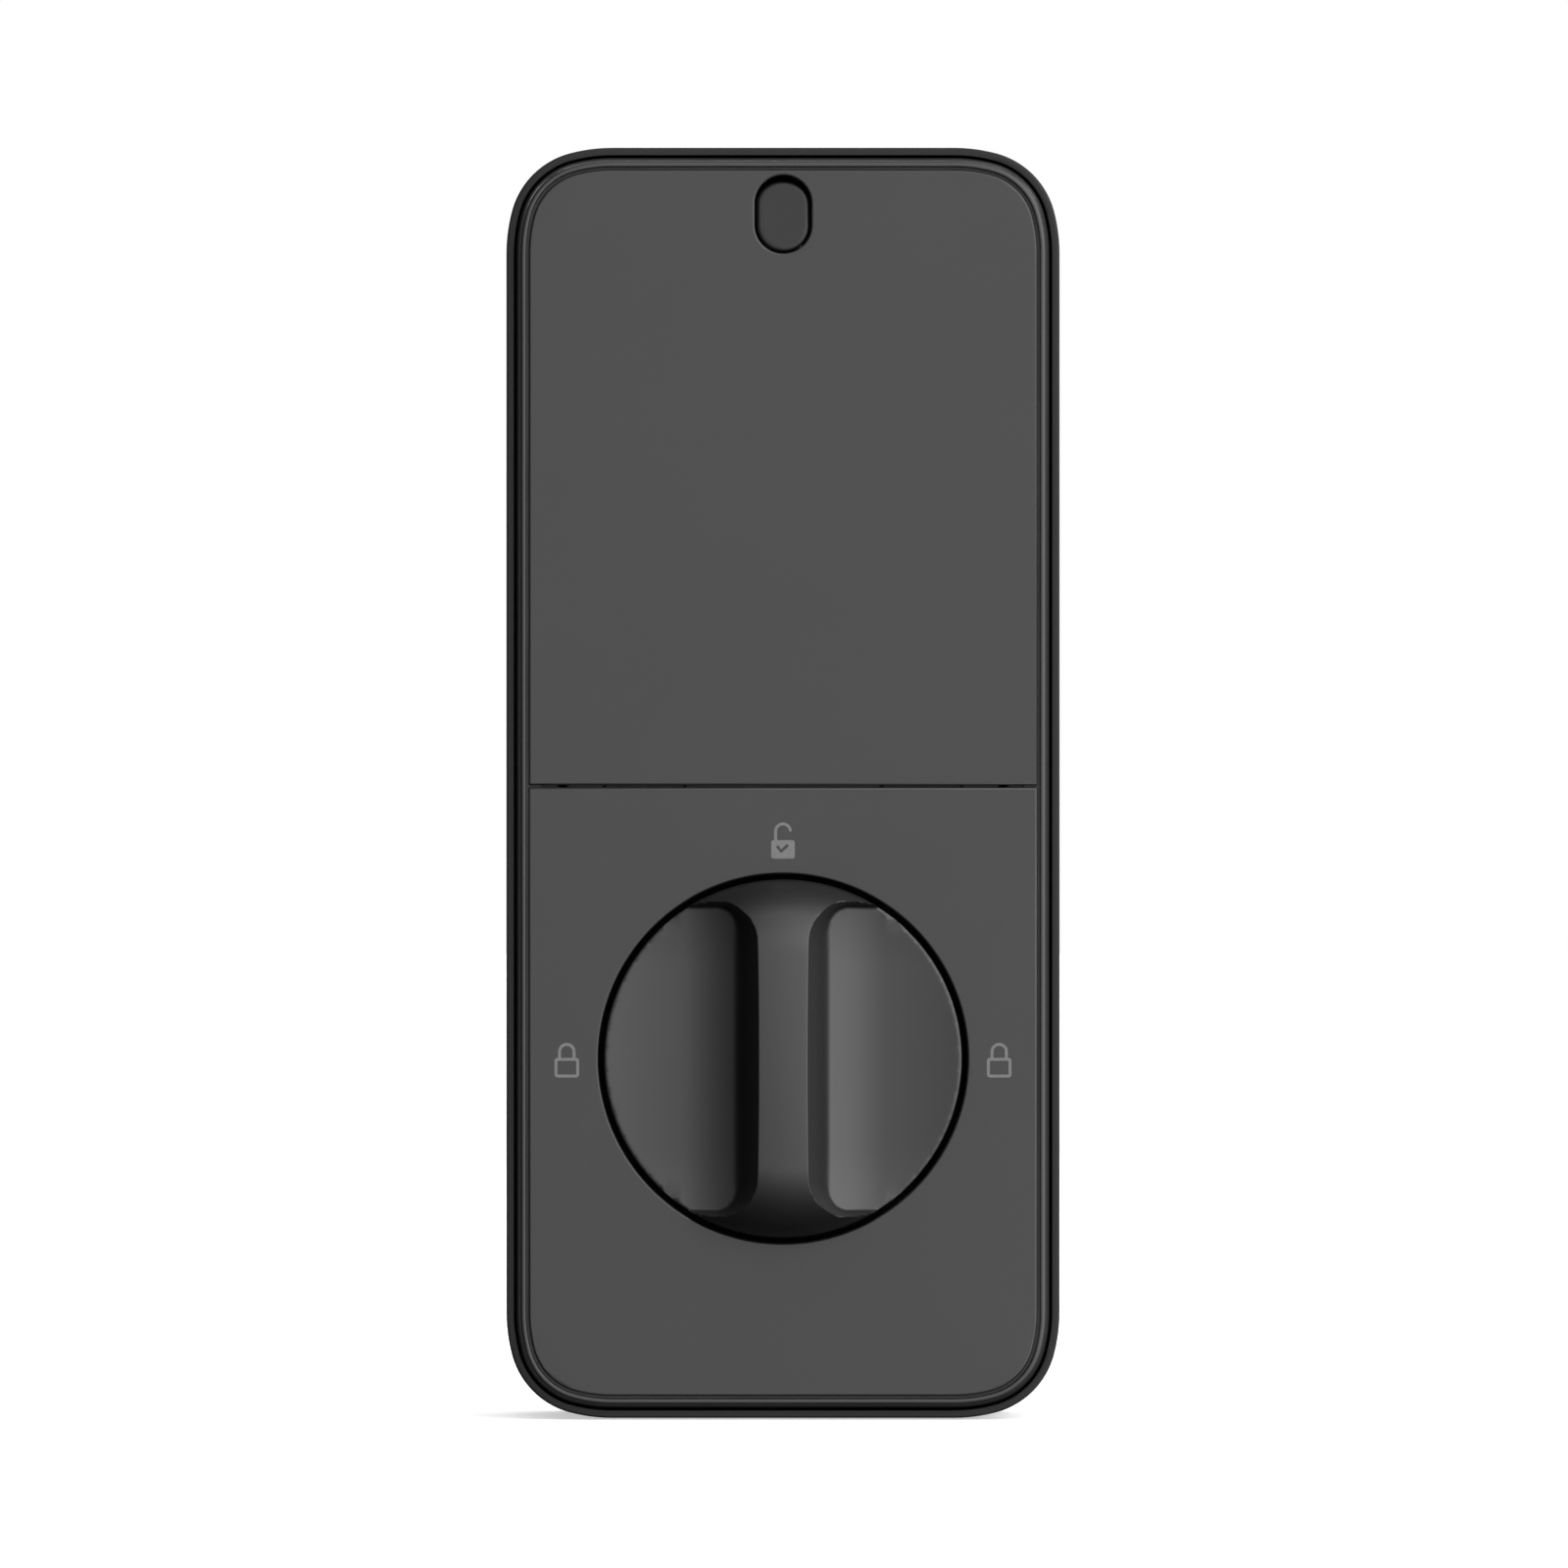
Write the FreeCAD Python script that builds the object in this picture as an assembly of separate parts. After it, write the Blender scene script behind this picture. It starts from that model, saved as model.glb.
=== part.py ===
"""Indoor unit of a motorised deadbolt: thumbturn, gear drive, battery bay and door plate.

Millimetres. X is to the right, -Y is towards the user, +Y is into the door and Z is up.
The origin is on the spindle's axis in the plane of the door's face.
"""
import FreeCAD, Part
import math
import os

V = FreeCAD.Vector

# Overall sizes
BODY_W = 72.0
BODY_TOP = 118.5
BODY_BOTTOM = -46.8
BODY_DEPTH = 33.5
CORNER_R = 10.6
CORNER_EASE_R = 21.3
CORNER_EASE_DEG = 15.0

# Case: insets are measured inwards from the body's outline
LIP_WALL = 1.05
LIP_SETBACK = 2.5
GROOVE = 0.35
SHELL_WALL = 2.6
SHOULDER_SETBACK = 11.5
SEAL_T = 1.0
BACK_WALL = 2.0
PLATE_SPACE = 4.6
FRAME_WALL = 2.0
CREST_W = 1.15
CREST_ROUND = 0.45
SEAM = 0.4
LEDGE_W = 1.2
LEDGE_T = 1.5
GASKET_INSET = 0.7
GASKET_W = 1.2
GASKET_T = 0.8

# Front panels
PANEL_T = 2.2
PANEL_BEVEL = 0.4
PARTING_Z = 35.4
PARTING_GAP = 0.3
KNOB_GAP = 0.7
ICON_DEPTH = 0.25
ICON_STROKE = 0.38
SIDE_ICON_X = 28.1
OPEN_ICON_Z = 26.0
CROSSBAR_H = 6.0
CROSSBAR_T = 3.0

# Battery cover, its tabs and its latch
TAB_X = 18.0
TAB_W = 10.0
TAB_T = 1.2
TAB_REACH = 3.0
TAB_GAP = 0.3
WINDOW_W = 7.3
WINDOW_H = 10.1
WINDOW_DROP = 8.75
LATCH_GAP = 0.3
LATCH_PIN_R = 0.75
LATCH_PIN_BEHIND = 1.9
LATCH_PIN_DROP = 4.15
LATCH_ANGLE_REACH = 9.4
LATCH_BARREL_R = 1.6
LATCH_SPRING_R = 1.35
LATCH_HOOK_RISE = 1.4
CATCH_T = 1.2
PAD_T = 0.6

# Battery tray and cells
CELL_D = 14.5
CELL_L = 50.5
CELL_SPACE = 0.7
CELL_GAP = 0.15
CELL_BEHIND = 1.0
BAY_SIDE_GAP = 0.55
NUB_D = 5.5
NUB_L = 1.0
BAY_BOTTOM = 40.0
SPRING_SPACE = 5.2
CONTACT_T = 0.4
TRAY_WALL = 1.5
TROUGH_WALL = 1.2
WELL_HALF_W = 8.0
WELL_DROP = 17.5
WELL_WALL = 1.2

# Thumbturn
KNOB_D = 46.6
KNOB_RISE = 10.0
KNOB_BACK = 8.5
DOME_R = 9.3
GRIP_W = 6.4
POCKET_HALF_H = 21.0
POCKET_CORNER = 5.4
POCKET_DEPTH = 0.8
POCKET_LOW_X = 13.0
POCKET_INNER_RISE = 1.42
POCKET_OUTER_RISE = 0.5
GRIP_LEAN = 2.2
SPINDLE_D = 12.0
SPINDLE_FLANGE_D = 20.0
SPINDLE_FLANGE_T = 2.0
SPINDLE_SCREW_R = 7.5
SPINDLE_FLAT = 5.2
SPINDLE_END = -0.3
TAILPIECE_W = 8.4
TAILPIECE_T = 2.6
TAILPIECE_DEEP = 11.0
BUSH_WALL = 2.0
BUSH_FLANGE_R = 9.5
BUSH_FLANGE_T = 0.5
FLANGE_GAP = 0.4
RUN_FIT = 0.05

# Gear drive
PRESSURE_DEG = 20.0
BACKLASH = 0.06
OUT_TEETH, OUT_MODULE = 50, 0.8
SECOND_WHEEL_TEETH, SECOND_WHEEL_MODULE = 48, 0.6
FIRST_WHEEL_TEETH, FIRST_WHEEL_MODULE = 50, 0.5
PINION_TEETH = 12
MOTOR_PINION_TEETH = 10
PINION_SHIFT = 0.3
MOTOR_PINION_SHIFT = 0.4
SECOND_DEG = 235.7
FIRST_DEG = -17.0
MOTOR_DEG = -21.0
GEARBOX_FLOOR_T = 1.2
GEARBOX_COVER_T = 1.4
GEARBOX_HALF_W = 31.0
GEARBOX_FOOT_GAP = 4.3
GEARBOX_TOP = 21.5
GEARBOX_COVER_TOP = 27.5
GEARBOX_CORNER = 5.0
GEAR_FLOOR_GAP = 0.4
LAYER_GAP = 0.6
OVERHANG = 0.2
OUT_W = 3.2
WHEEL_W = 1.8
CLIP_T = 0.7
CLIP_R = 8.2
CLIP_BITE = 0.8
AXLE_R = 1.0
POST_R = 3.0
POSTS = [(24.0, 8.0), (-24.0, 8.0), (-22.0, -38.0), (27.0, -20.0)]
MOTOR_D = 20.0
MOTOR_L = 12.0
MOTOR_SHAFT_R = 0.75

# Main board
BOARD_HALF_W = 27.0
BOARD_BOTTOM = 38.0
BOARD_TOP = 98.0
BOARD_T = 1.6
STANDOFF_H = 2.2
BUTTON_X = -14.0
BUTTON_DROP = 12.5
BUTTON_R = 2.5
BUTTON_TRAVEL = 0.5
SWITCH_H = 1.4

# Mounting plate
PLATE_T = 1.6
LUG_REACH = 4.4
PLATE_SIDE_GAP = 6.0
PLATE_FOOT_GAP = 6.8
PLATE_TOP_GAP = 6.5
PLATE_CORNER = 8.0
CENTRE_HOLE_R = 14.0
BOLT_SPACING = 38.0
BOLT_HOLE_R = 2.8
CABLE_SLOT_W = 14.0
CABLE_SLOT_H = 5.4
CABLE_SLOT_Z = 25.0
PLATE_SCREW_X = 24.0
PLATE_SCREW_DROP = 15.5

# Screws
BOSS_R = 3.0
BOSS_GAP = 0.1
CASE_SCREW_R = 1.3
SMALL_SCREW_R = 1.0
PLATE_SCREW_R = 1.5
HEAD_T = 1.5
THREAD_FIT = 0.02
BOTTOM_SCREW_R = 1.25
BOTTOM_SCREW_Y = -3.0
BOTTOM_HEAD_R = 2.1
BOTTOM_HEAD_SEAT = 1.3

# Planes and places that follow from the sizes above
PANEL_Y = -BODY_DEPTH
PANEL_BACK = PANEL_Y + PANEL_T
SHOULDER_Y = PANEL_Y + SHOULDER_SETBACK
LEDGE_BACK = PANEL_BACK + LEDGE_T
LIP_Y = PANEL_Y + LIP_SETBACK
BACK_REAR = -PLATE_SPACE
BACK_FRONT = BACK_REAR - BACK_WALL
FRAME_INSET = LIP_WALL + GROOVE
FRAME_INNER = FRAME_INSET + FRAME_WALL
PANEL_INSET = FRAME_INSET + CREST_W + SEAM
LEDGE_INSET = FRAME_INNER + LEDGE_W
FRAME_BACK = SHOULDER_Y - SEAL_T
BOSS_INSET = SHELL_WALL + BOSS_GAP + BOSS_R
KNOB_R = KNOB_D / 2
KNOB_HOLE_R = KNOB_R + KNOB_GAP
KNOB_BACK_Y = PANEL_Y + KNOB_BACK
CREST_Y = PANEL_Y - KNOB_RISE
SPINDLE_R = SPINDLE_D / 2
BUSH_R = SPINDLE_R + BUSH_WALL
WINDOW_Z = BODY_TOP - WINDOW_DROP
LATCH_PIN_Y = PANEL_BACK + LATCH_PIN_BEHIND
LATCH_PIN_Z = WINDOW_Z - LATCH_PIN_DROP
CELL_AXIS_Y = PANEL_BACK + CELL_BEHIND + CELL_D / 2
CELL_PITCH = CELL_D + CELL_SPACE
WELL_BOTTOM = BODY_TOP - WELL_DROP
WELL_FLOOR_Y = LATCH_PIN_Y + LATCH_ANGLE_REACH
BUTTON_Z = BODY_TOP - BUTTON_DROP
PLATE_SCREW_Z = BODY_TOP - PLATE_SCREW_DROP
PLATE_HALF_W = BODY_W / 2 - PLATE_SIDE_GAP
PLATE_BOTTOM = BODY_BOTTOM + PLATE_FOOT_GAP
PLATE_TOP = BODY_TOP - PLATE_TOP_GAP
BAY_TOP = BAY_BOTTOM + 2 * CONTACT_T + SPRING_SPACE + CELL_L
CELL_XS = [(i - 1.5) * CELL_PITCH for i in range(4)]
BAY_HALF_W = CELL_XS[3] + CELL_D / 2 + BAY_SIDE_GAP
CELL_HOUSING_R = CELL_D / 2 + CELL_GAP
FLANGE_BOTTOM = PARTING_Z + 3.4
GEARBOX_FLOOR_Y = BACK_FRONT - GEARBOX_FLOOR_T
OUT_BACK = GEARBOX_FLOOR_Y - GEAR_FLOOR_GAP
OUT_FRONT = OUT_BACK - OUT_W
CLIP_BACK = OUT_FRONT - 0.3
CLIP_FRONT = CLIP_BACK - CLIP_T
SECOND_BACK = OUT_FRONT - LAYER_GAP
SECOND_FRONT = SECOND_BACK - WHEEL_W
FIRST_BACK = SECOND_FRONT - LAYER_GAP - OVERHANG
FIRST_FRONT = FIRST_BACK - WHEEL_W
MOTOR_PINION_BACK = FIRST_BACK + OVERHANG
MOTOR_PINION_FRONT = FIRST_FRONT - 2 * OVERHANG
GEARBOX_COVER_BACK = MOTOR_PINION_FRONT - 0.3
GEARBOX_COVER_Y = GEARBOX_COVER_BACK - GEARBOX_COVER_T
BOARD_BACK = BACK_FRONT - STANDOFF_H
BOARD_FRONT = BOARD_BACK - BOARD_T
TAB_FRONT = PANEL_BACK + 0.2
TAB_BACK = TAB_FRONT + TAB_T


def box(x0, x1, y0, y1, z0, z1):
    """Block between two corners."""
    return Part.makeBox(x1 - x0, y1 - y0, z1 - z0, V(x0, y0, z0))


def rod(r, y0, y1, x=0.0, z=0.0):
    """Cylinder along Y."""
    return Part.makeCylinder(r, y1 - y0, V(x, y0, z), V(0, 1, 0))


def rod_x(r, x0, x1, y, z):
    """Cylinder along X."""
    return Part.makeCylinder(r, x1 - x0, V(x0, y, z), V(1, 0, 0))


def rod_z(r, z0, z1, x, y):
    """Cylinder along Z."""
    return Part.makeCylinder(r, z1 - z0, V(x, y, z0), V(0, 0, 1))


def tube(r_out, r_in, y0, y1, x=0.0, z=0.0):
    """Sleeve along Y."""
    return rod(r_out, y0, y1, x, z).cut(rod(r_in, y0, y1, x, z))


def prism_y(edges, y0, y1):
    """Closed outline drawn at y = 0, moved to y0 and extruded to y1."""
    face = Part.Face(Part.Wire(Part.__sortEdges__(edges)))
    face.translate(V(0, y0, 0))
    return face.extrude(V(0, y1 - y0, 0))


def line(a, b):
    return Part.LineSegment(a, b).toShape()


def arc(a, m, b):
    return Part.Arc(a, m, b).toShape()


def polygon_y(points, y0, y1):
    """Straight-sided outline of (x, z) points, extruded along Y."""
    wire = Part.makePolygon([V(x, y0, z) for x, z in points + points[:1]])
    return Part.Face(wire).extrude(V(0, y1 - y0, 0))


def polygon_x(points, x0, x1):
    """Straight-sided outline of (y, z) points, extruded along X."""
    wire = Part.makePolygon([V(x0, y, z) for y, z in points + points[:1]])
    return Part.Face(wire).extrude(V(x1 - x0, 0, 0))


def plate(x0, x1, z0, z1, corner, y0, y1):
    """Rectangular plate with round corners."""
    body = box(x0, x1, y0, y1, z0, z1)
    upright = [e for e in body.Edges if abs(e.BoundBox.YLength - (y1 - y0)) < 1e-6]
    return body.makeFillet(corner, upright)


def join(shapes):
    """One solid from overlapping or touching ones."""
    first = shapes[0]
    return first.fuse(shapes[1:]).removeSplitter() if len(shapes) > 1 else first


def edges_at_y(shape, y):
    """Edges that lie wholly in one plane across Y."""
    return [e for e in shape.Edges if max(abs(e.BoundBox.YMin - y), abs(e.BoundBox.YMax - y)) < 1e-4]


def corner_centre():
    """Distance of a corner's main arc centre from both sides of the body."""
    ease = math.radians(CORNER_EASE_DEG)
    return CORNER_EASE_R - (CORNER_EASE_R - CORNER_R) * math.cos(ease)


def corner_arcs(sx, sz, inset):
    """Three arcs that turn one corner: easing arc, main arc, easing arc."""
    ease = math.radians(CORNER_EASE_DEG)
    reach = corner_centre() + (CORNER_EASE_R - CORNER_R) * math.sin(ease)
    x_side = BODY_W / 2
    z_side = BODY_TOP if sz > 0 else -BODY_BOTTOM
    centre = corner_centre()
    stretches = [
        (x_side - CORNER_EASE_R, z_side - reach, CORNER_EASE_R, 0.0, ease),
        (x_side - centre, z_side - centre, CORNER_R, ease, math.pi / 2 - ease),
        (x_side - reach, z_side - CORNER_EASE_R, CORNER_EASE_R, math.pi / 2 - ease, math.pi / 2),
    ]
    arcs = []
    for cx, cz, r, a0, a1 in stretches:
        angles = (a0, (a0 + a1) / 2, a1)
        arcs.append([V(sx * (cx + (r - inset) * math.cos(a)), 0, sz * (cz + (r - inset) * math.sin(a)))
                     for a in angles])
    return arcs


def slab(inset, y0, y1):
    """The body's outline moved inwards by inset, as a plate from y0 to y1."""
    corners = {(sx, sz): corner_arcs(sx, sz, inset) for sx in (1, -1) for sz in (1, -1)}
    edges = [arc(*points) for arcs in corners.values() for points in arcs]
    for s in (1, -1):
        edges.append(line(corners[(s, 1)][0][0], corners[(s, -1)][0][0]))
        edges.append(line(corners[(1, s)][2][2], corners[(-1, s)][2][2]))
    return prism_y(edges, y0, y1)


def ring(outer_inset, inner_inset, y0, y1):
    """Frame between two insets of the body's outline."""
    return slab(outer_inset, y0, y1).cut(slab(inner_inset, y0, y1))


def boss_places():
    """Axes of the six case screws: four corners and both sides below the parting line."""
    across = (CORNER_R - BOSS_INSET) * math.cos(math.pi / 4)
    x = BODY_W / 2 - corner_centre() + across
    top = BODY_TOP - corner_centre() + across
    bottom = BODY_BOTTOM + corner_centre() - across
    side_z = PARTING_Z - 1.4
    side_x = BODY_W / 2 - BOSS_INSET
    return [(sx * px, pz) for sx in (1, -1) for px, pz in ((x, bottom), (side_x, side_z), (x, top))]


def plate_screw_places():
    return [(s * PLATE_SCREW_X, PLATE_SCREW_Z) for s in (1, -1)]


def board_screw_places():
    inset = 3.5
    heights = (BOARD_BOTTOM + inset, BOARD_TOP - inset)
    return [(s * (BOARD_HALF_W - inset), z) for s in (1, -1) for z in heights]


def screw(r, head_r, head_y, tip_y, x, z):
    """Pan-head screw with a cross recess; the head sits beyond head_y, away from the tip."""
    way = 1 if tip_y > head_y else -1
    top = head_y - way * HEAD_T
    head = rod(head_r, min(top, head_y), max(top, head_y), x, z)
    shank = rod(r, min(head_y, tip_y), max(head_y, tip_y), x, z)
    recess_floor = top + way * HEAD_T * 0.6
    y0, y1 = min(top, recess_floor), max(top, recess_floor)
    arm, half = head_r * 0.6, head_r * 0.14
    recess = box(x - arm, x + arm, y0, y1, z - half, z + half).fuse(
        box(x - half, x + half, y0, y1, z - arm, z + arm))
    return head.fuse(shank).cut(recess).removeSplitter()


# ---- Case ----

def rear_shell():
    """Box with a thin front lip, a back wall and everything that is bored through it."""
    shell = join([
        ring(0, LIP_WALL, LIP_Y, SHOULDER_Y),
        ring(0, SHELL_WALL, SHOULDER_Y, 0),
        slab(SHELL_WALL - 0.5, BACK_FRONT, BACK_REAR),
    ] + [rod(2.5, BOARD_BACK, BACK_FRONT, x, z) for x, z in board_screw_places()])
    cuts = [rod(BUSH_R, BACK_FRONT, BACK_REAR), cable_port(BACK_FRONT, BACK_REAR)]
    cuts += [rod(CASE_SCREW_R + THREAD_FIT, BACK_FRONT, BACK_REAR, x, z) for x, z in boss_places()]
    cuts += [rod(CASE_SCREW_R + THREAD_FIT, BACK_FRONT, BACK_REAR, x, z) for x, z in POSTS]
    cuts += [rod(PLATE_SCREW_R + 0.1, BACK_FRONT, BACK_REAR, x, z) for x, z in plate_screw_places()]
    cuts += [rod(SMALL_SCREW_R + THREAD_FIT, BOARD_BACK, BACK_REAR, x, z) for x, z in board_screw_places()]
    cuts.append(ring(GASKET_INSET, GASKET_INSET + GASKET_W, -GASKET_T, 0))
    foot, y = BODY_BOTTOM, BOTTOM_SCREW_Y
    cuts.append(rod_z(BOTTOM_SCREW_R + THREAD_FIT, foot, foot + SHELL_WALL, 0, y))
    cuts.append(rod_z(BOTTOM_HEAD_R + THREAD_FIT, foot, foot + BOTTOM_HEAD_SEAT, 0, y))
    shell = shell.cut(cuts)
    return shell.makeFillet(0.3, [e for e in edges_at_y(shell, LIP_Y) if on_outline(e)])


def on_outline(edge):
    """True for an edge of the body's own outline, at the outer side of the wall."""
    middle = edge.valueAt((edge.FirstParameter + edge.LastParameter) / 2)
    return not slab(0.01, middle.y - 1, middle.y + 1).isInside(middle, 1e-6, True)


def cable_port(y0, y1):
    """Cutter for the cable's way through a wall."""
    half_w, half_h = CABLE_SLOT_W / 2, CABLE_SLOT_H / 2
    return plate(-half_w, half_w, CABLE_SLOT_Z - half_h, CABLE_SLOT_Z + half_h, 2.0, y0, y1)


def door_gasket():
    return ring(GASKET_INSET, GASKET_INSET + GASKET_W, -GASKET_T, 0)


def housing_seal():
    return ring(FRAME_INSET, SHELL_WALL, FRAME_BACK, SHOULDER_Y)


def front_frame():
    """Rounded rim round both panels, the ledge they rest on, the crossbar and the screw bosses."""
    crest = ring(FRAME_INSET, FRAME_INSET + CREST_W, PANEL_Y, PANEL_BACK)
    crest = crest.makeFillet(CREST_ROUND, edges_at_y(crest, PANEL_Y))
    wall = ring(FRAME_INSET, FRAME_INNER, PANEL_BACK, FRAME_BACK)
    ledge = ring(FRAME_INNER, LEDGE_INSET, PANEL_BACK, LEDGE_BACK)
    bar_half = BODY_W / 2 - FRAME_INNER
    bar_top = PARTING_Z + 2.1
    bar = box(-bar_half, bar_half, LEDGE_BACK, LEDGE_BACK + CROSSBAR_T, bar_top - CROSSBAR_H, bar_top)
    rest = box(-bar_half, bar_half, PANEL_BACK, LEDGE_BACK, bar_top - CROSSBAR_H, PARTING_Z - 0.2)
    catch = box(-5, 5, *catch_ys(), catch_bottom(), BODY_TOP - FRAME_INNER)
    frame = join([crest, wall, ledge, bar, rest, catch] + [
        rod(BOSS_R, LEDGE_BACK, BACK_FRONT, x, z) for x, z in boss_places()])
    notch = TAB_W / 2 + TAB_GAP
    cuts = [box(s * TAB_X - notch, s * TAB_X + notch, PANEL_BACK, LEDGE_BACK + CROSSBAR_T / 2,
                bar_top - CROSSBAR_H, bar_top) for s in (1, -1)]
    cuts += [rod(CASE_SCREW_R + THREAD_FIT, BACK_FRONT - 9, BACK_FRONT, x, z) for x, z in boss_places()]
    return frame.cut(cuts)


def catch_bottom():
    """Lowest point of the rib that the cover's latch hooks behind."""
    return BODY_TOP - FRAME_INNER - 1.9


def catch_ys():
    return (LATCH_PIN_Y + 3.2, LATCH_PIN_Y + 3.2 + CATCH_T)


def panel():
    """Both front panels as one plate, before they are parted."""
    whole = slab(PANEL_INSET, PANEL_Y, PANEL_BACK)
    return whole.makeChamfer(PANEL_BEVEL, edges_at_y(whole, PANEL_Y))


def snap_hook(x, z, across_x, way):
    """Hook under the frame's ledge; way points outwards."""
    stem_y, barb_y = PANEL_BACK, LEDGE_BACK + 0.2
    end = LEDGE_BACK + 1.4
    gap, thick, bite, half = 0.2, 1.2, 0.8, 3.0
    if across_x:
        root = x - way * gap
        xs = sorted((root, root - way * thick))
        barb = sorted((root, root + way * bite))
        stem = box(*xs, stem_y, end, z - half, z + half)
        return stem.fuse(box(*barb, barb_y, end, z - half, z + half))
    root = z - way * gap
    zs = sorted((root, root - way * thick))
    barb = sorted((root, root + way * bite))
    return join([box(x - half, x + half, stem_y, end, *zs), box(x - half, x + half, barb_y, end, *barb)])


def lower_fascia():
    """Lower panel with the thumbturn's hole, pockets for the marks and snap hooks."""
    below = box(-BODY_W, BODY_W, PANEL_Y - 1, 0, BODY_BOTTOM, PARTING_Z - PARTING_GAP / 2)
    fascia = panel().common(below)
    side = BODY_W / 2 - LEDGE_INSET
    hooks = [snap_hook(s * side, z, True, s) for s in (1, -1) for z in (-20.0, 12.0)]
    hooks += [snap_hook(x, BODY_BOTTOM + LEDGE_INSET, False, -1) for x in (-12.0, 3.0)]
    fascia = join([fascia] + hooks)
    return fascia.cut([rod(KNOB_HOLE_R, PANEL_Y, PANEL_BACK)] + icons())


def closed_padlock(x, z):
    """Outlined padlock with a closed shackle; z is the foot of its body."""
    w, h, y0, y1 = 3.2, 2.55, PANEL_Y, PANEL_Y + ICON_DEPTH
    body = plate(x - w / 2, x + w / 2, z, z + h, 0.4, y0, y1)
    half, stroke = w / 2 - ICON_STROKE, ICON_STROKE
    inner = box(x - half, x + half, y0, y1, z + stroke, z + h - stroke)
    r = 1.13
    foot, arch = z + h - ICON_STROKE / 2, z + 4.5 - r
    shackle = tube(r, r - ICON_STROKE, y0, y1, x, arch).common(box(x - r, x + r, y0, y1, arch, arch + r))
    legs = [box(min(a, b), max(a, b), y0, y1, foot, arch)
            for a, b in ((x - r, x - r + ICON_STROKE), (x + r, x + r - ICON_STROKE))]
    return join([body.cut(inner), shackle] + legs)


def open_padlock(z):
    """Filled padlock with a tick cut out of it and its shackle open on the right."""
    w, h, y0, y1 = 3.06, 2.4, PANEL_Y, PANEL_Y + ICON_DEPTH
    body = plate(-w / 2, w / 2, z, z + h, 0.3, y0, y1)
    tick = [(-0.91, 1.5), (-0.24, 0.69), (0.79, 1.66), (0.51, 1.94), (-0.24, 1.23), (-0.63, 1.78)]
    body = body.cut(polygon_y([(x, z + dz) for x, dz in tick], y0, y1))
    r, arch = 1.15, z + 3.55
    shackle = tube(r, r - ICON_STROKE, y0, y1, 0, arch).common(box(-r, r, y0, y1, arch, arch + r))
    leg = box(-r, -r + ICON_STROKE, y0, y1, z + h - 0.1, arch)
    return join([body, shackle, leg])


def icons():
    """The three marks, inlaid flush in the lower fascia."""
    foot = -2.45
    sides = [closed_padlock(s * SIDE_ICON_X, foot) for s in (-1, 1)]
    return sides + [open_padlock(OPEN_ICON_Z)]


# ---- Battery cover and latch ----

def window(gap, y0, y1):
    """Oval of the release window, made smaller all round by gap."""
    r = WINDOW_W / 2 - gap
    straight = (WINDOW_H - WINDOW_W) / 2
    low, high = WINDOW_Z - straight, WINDOW_Z + straight
    return join([rod(r, y0, y1, 0, low), rod(r, y0, y1, 0, high), box(-r, r, y0, y1, low, high)])


def battery_cover():
    """Upper panel with two foot tabs and the cheeks that carry the latch's pin."""
    above = box(-BODY_W, BODY_W, PANEL_Y - 1, 0, PARTING_Z + PARTING_GAP / 2, BODY_TOP)
    parts = [panel().common(above)]
    foot = PARTING_Z + PARTING_GAP / 2
    for s in (1, -1):
        x0, x1 = s * TAB_X - TAB_W / 2, s * TAB_X + TAB_W / 2
        parts.append(box(x0, x1, PANEL_BACK, TAB_BACK, foot, foot + 2.4))
        parts.append(box(x0, x1, TAB_FRONT, TAB_BACK, foot - TAB_REACH - 0.15, foot))
    reach = LATCH_BARREL_R + 0.2
    for s in (1, -1):
        xs = sorted((s * 4.3, s * 5.6))
        parts.append(box(*xs, PANEL_BACK, LATCH_PIN_Y + 1.6, LATCH_PIN_Z - reach, LATCH_PIN_Z + reach))
    cover = join(parts)
    pin_hole = rod_x(LATCH_PIN_R, -5.6, 5.6, LATCH_PIN_Y, LATCH_PIN_Z)
    return cover.cut([window(0, PANEL_Y, PANEL_BACK), pin_hole])


def latch_pin():
    return rod_x(LATCH_PIN_R, -5.6, 5.6, LATCH_PIN_Y, LATCH_PIN_Z)


def cover_latch():
    """Ramped push button, its barrel on the pin and the arm that carries the hook."""
    face_foot, face_head = (PANEL_Y + 0.1, WINDOW_Z - WINDOW_H / 2), (PANEL_BACK + 0.2, WINDOW_Z + 4.0)
    behind = PANEL_BACK + 1.6
    ramp = polygon_x([face_foot, face_head, (behind, face_head[1]), (behind, face_foot[1])],
                     -WINDOW_W, WINDOW_W)
    button = ramp.common(window(LATCH_GAP, PANEL_Y, LATCH_PIN_Y))
    barrel = rod_x(LATCH_BARREL_R, -3.3, 1.0, LATCH_PIN_Y, LATCH_PIN_Z)
    web = box(-3.3, 1.0, PANEL_BACK + 0.9, LATCH_PIN_Y, LATCH_PIN_Z, LATCH_PIN_Z + 3)
    hook_front = catch_ys()[1] + 0.3
    hook_back = hook_front + 1.4
    arm = box(-3, 3, PANEL_BACK + 1.0, hook_back, catch_bottom() - 2.2, catch_bottom() - 0.7)
    hook = box(-3, 3, hook_front, hook_back, catch_bottom() - 0.7, catch_bottom() + LATCH_HOOK_RISE)
    latch = join([button, barrel, web, arm, hook])
    return latch.cut([rod_x(LATCH_PIN_R + RUN_FIT, -4, 4, LATCH_PIN_Y, LATCH_PIN_Z),
                      rod_x(LATCH_SPRING_R + LATCH_GAP, 1.0, WINDOW_W, LATCH_PIN_Y, LATCH_PIN_Z)])


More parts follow.
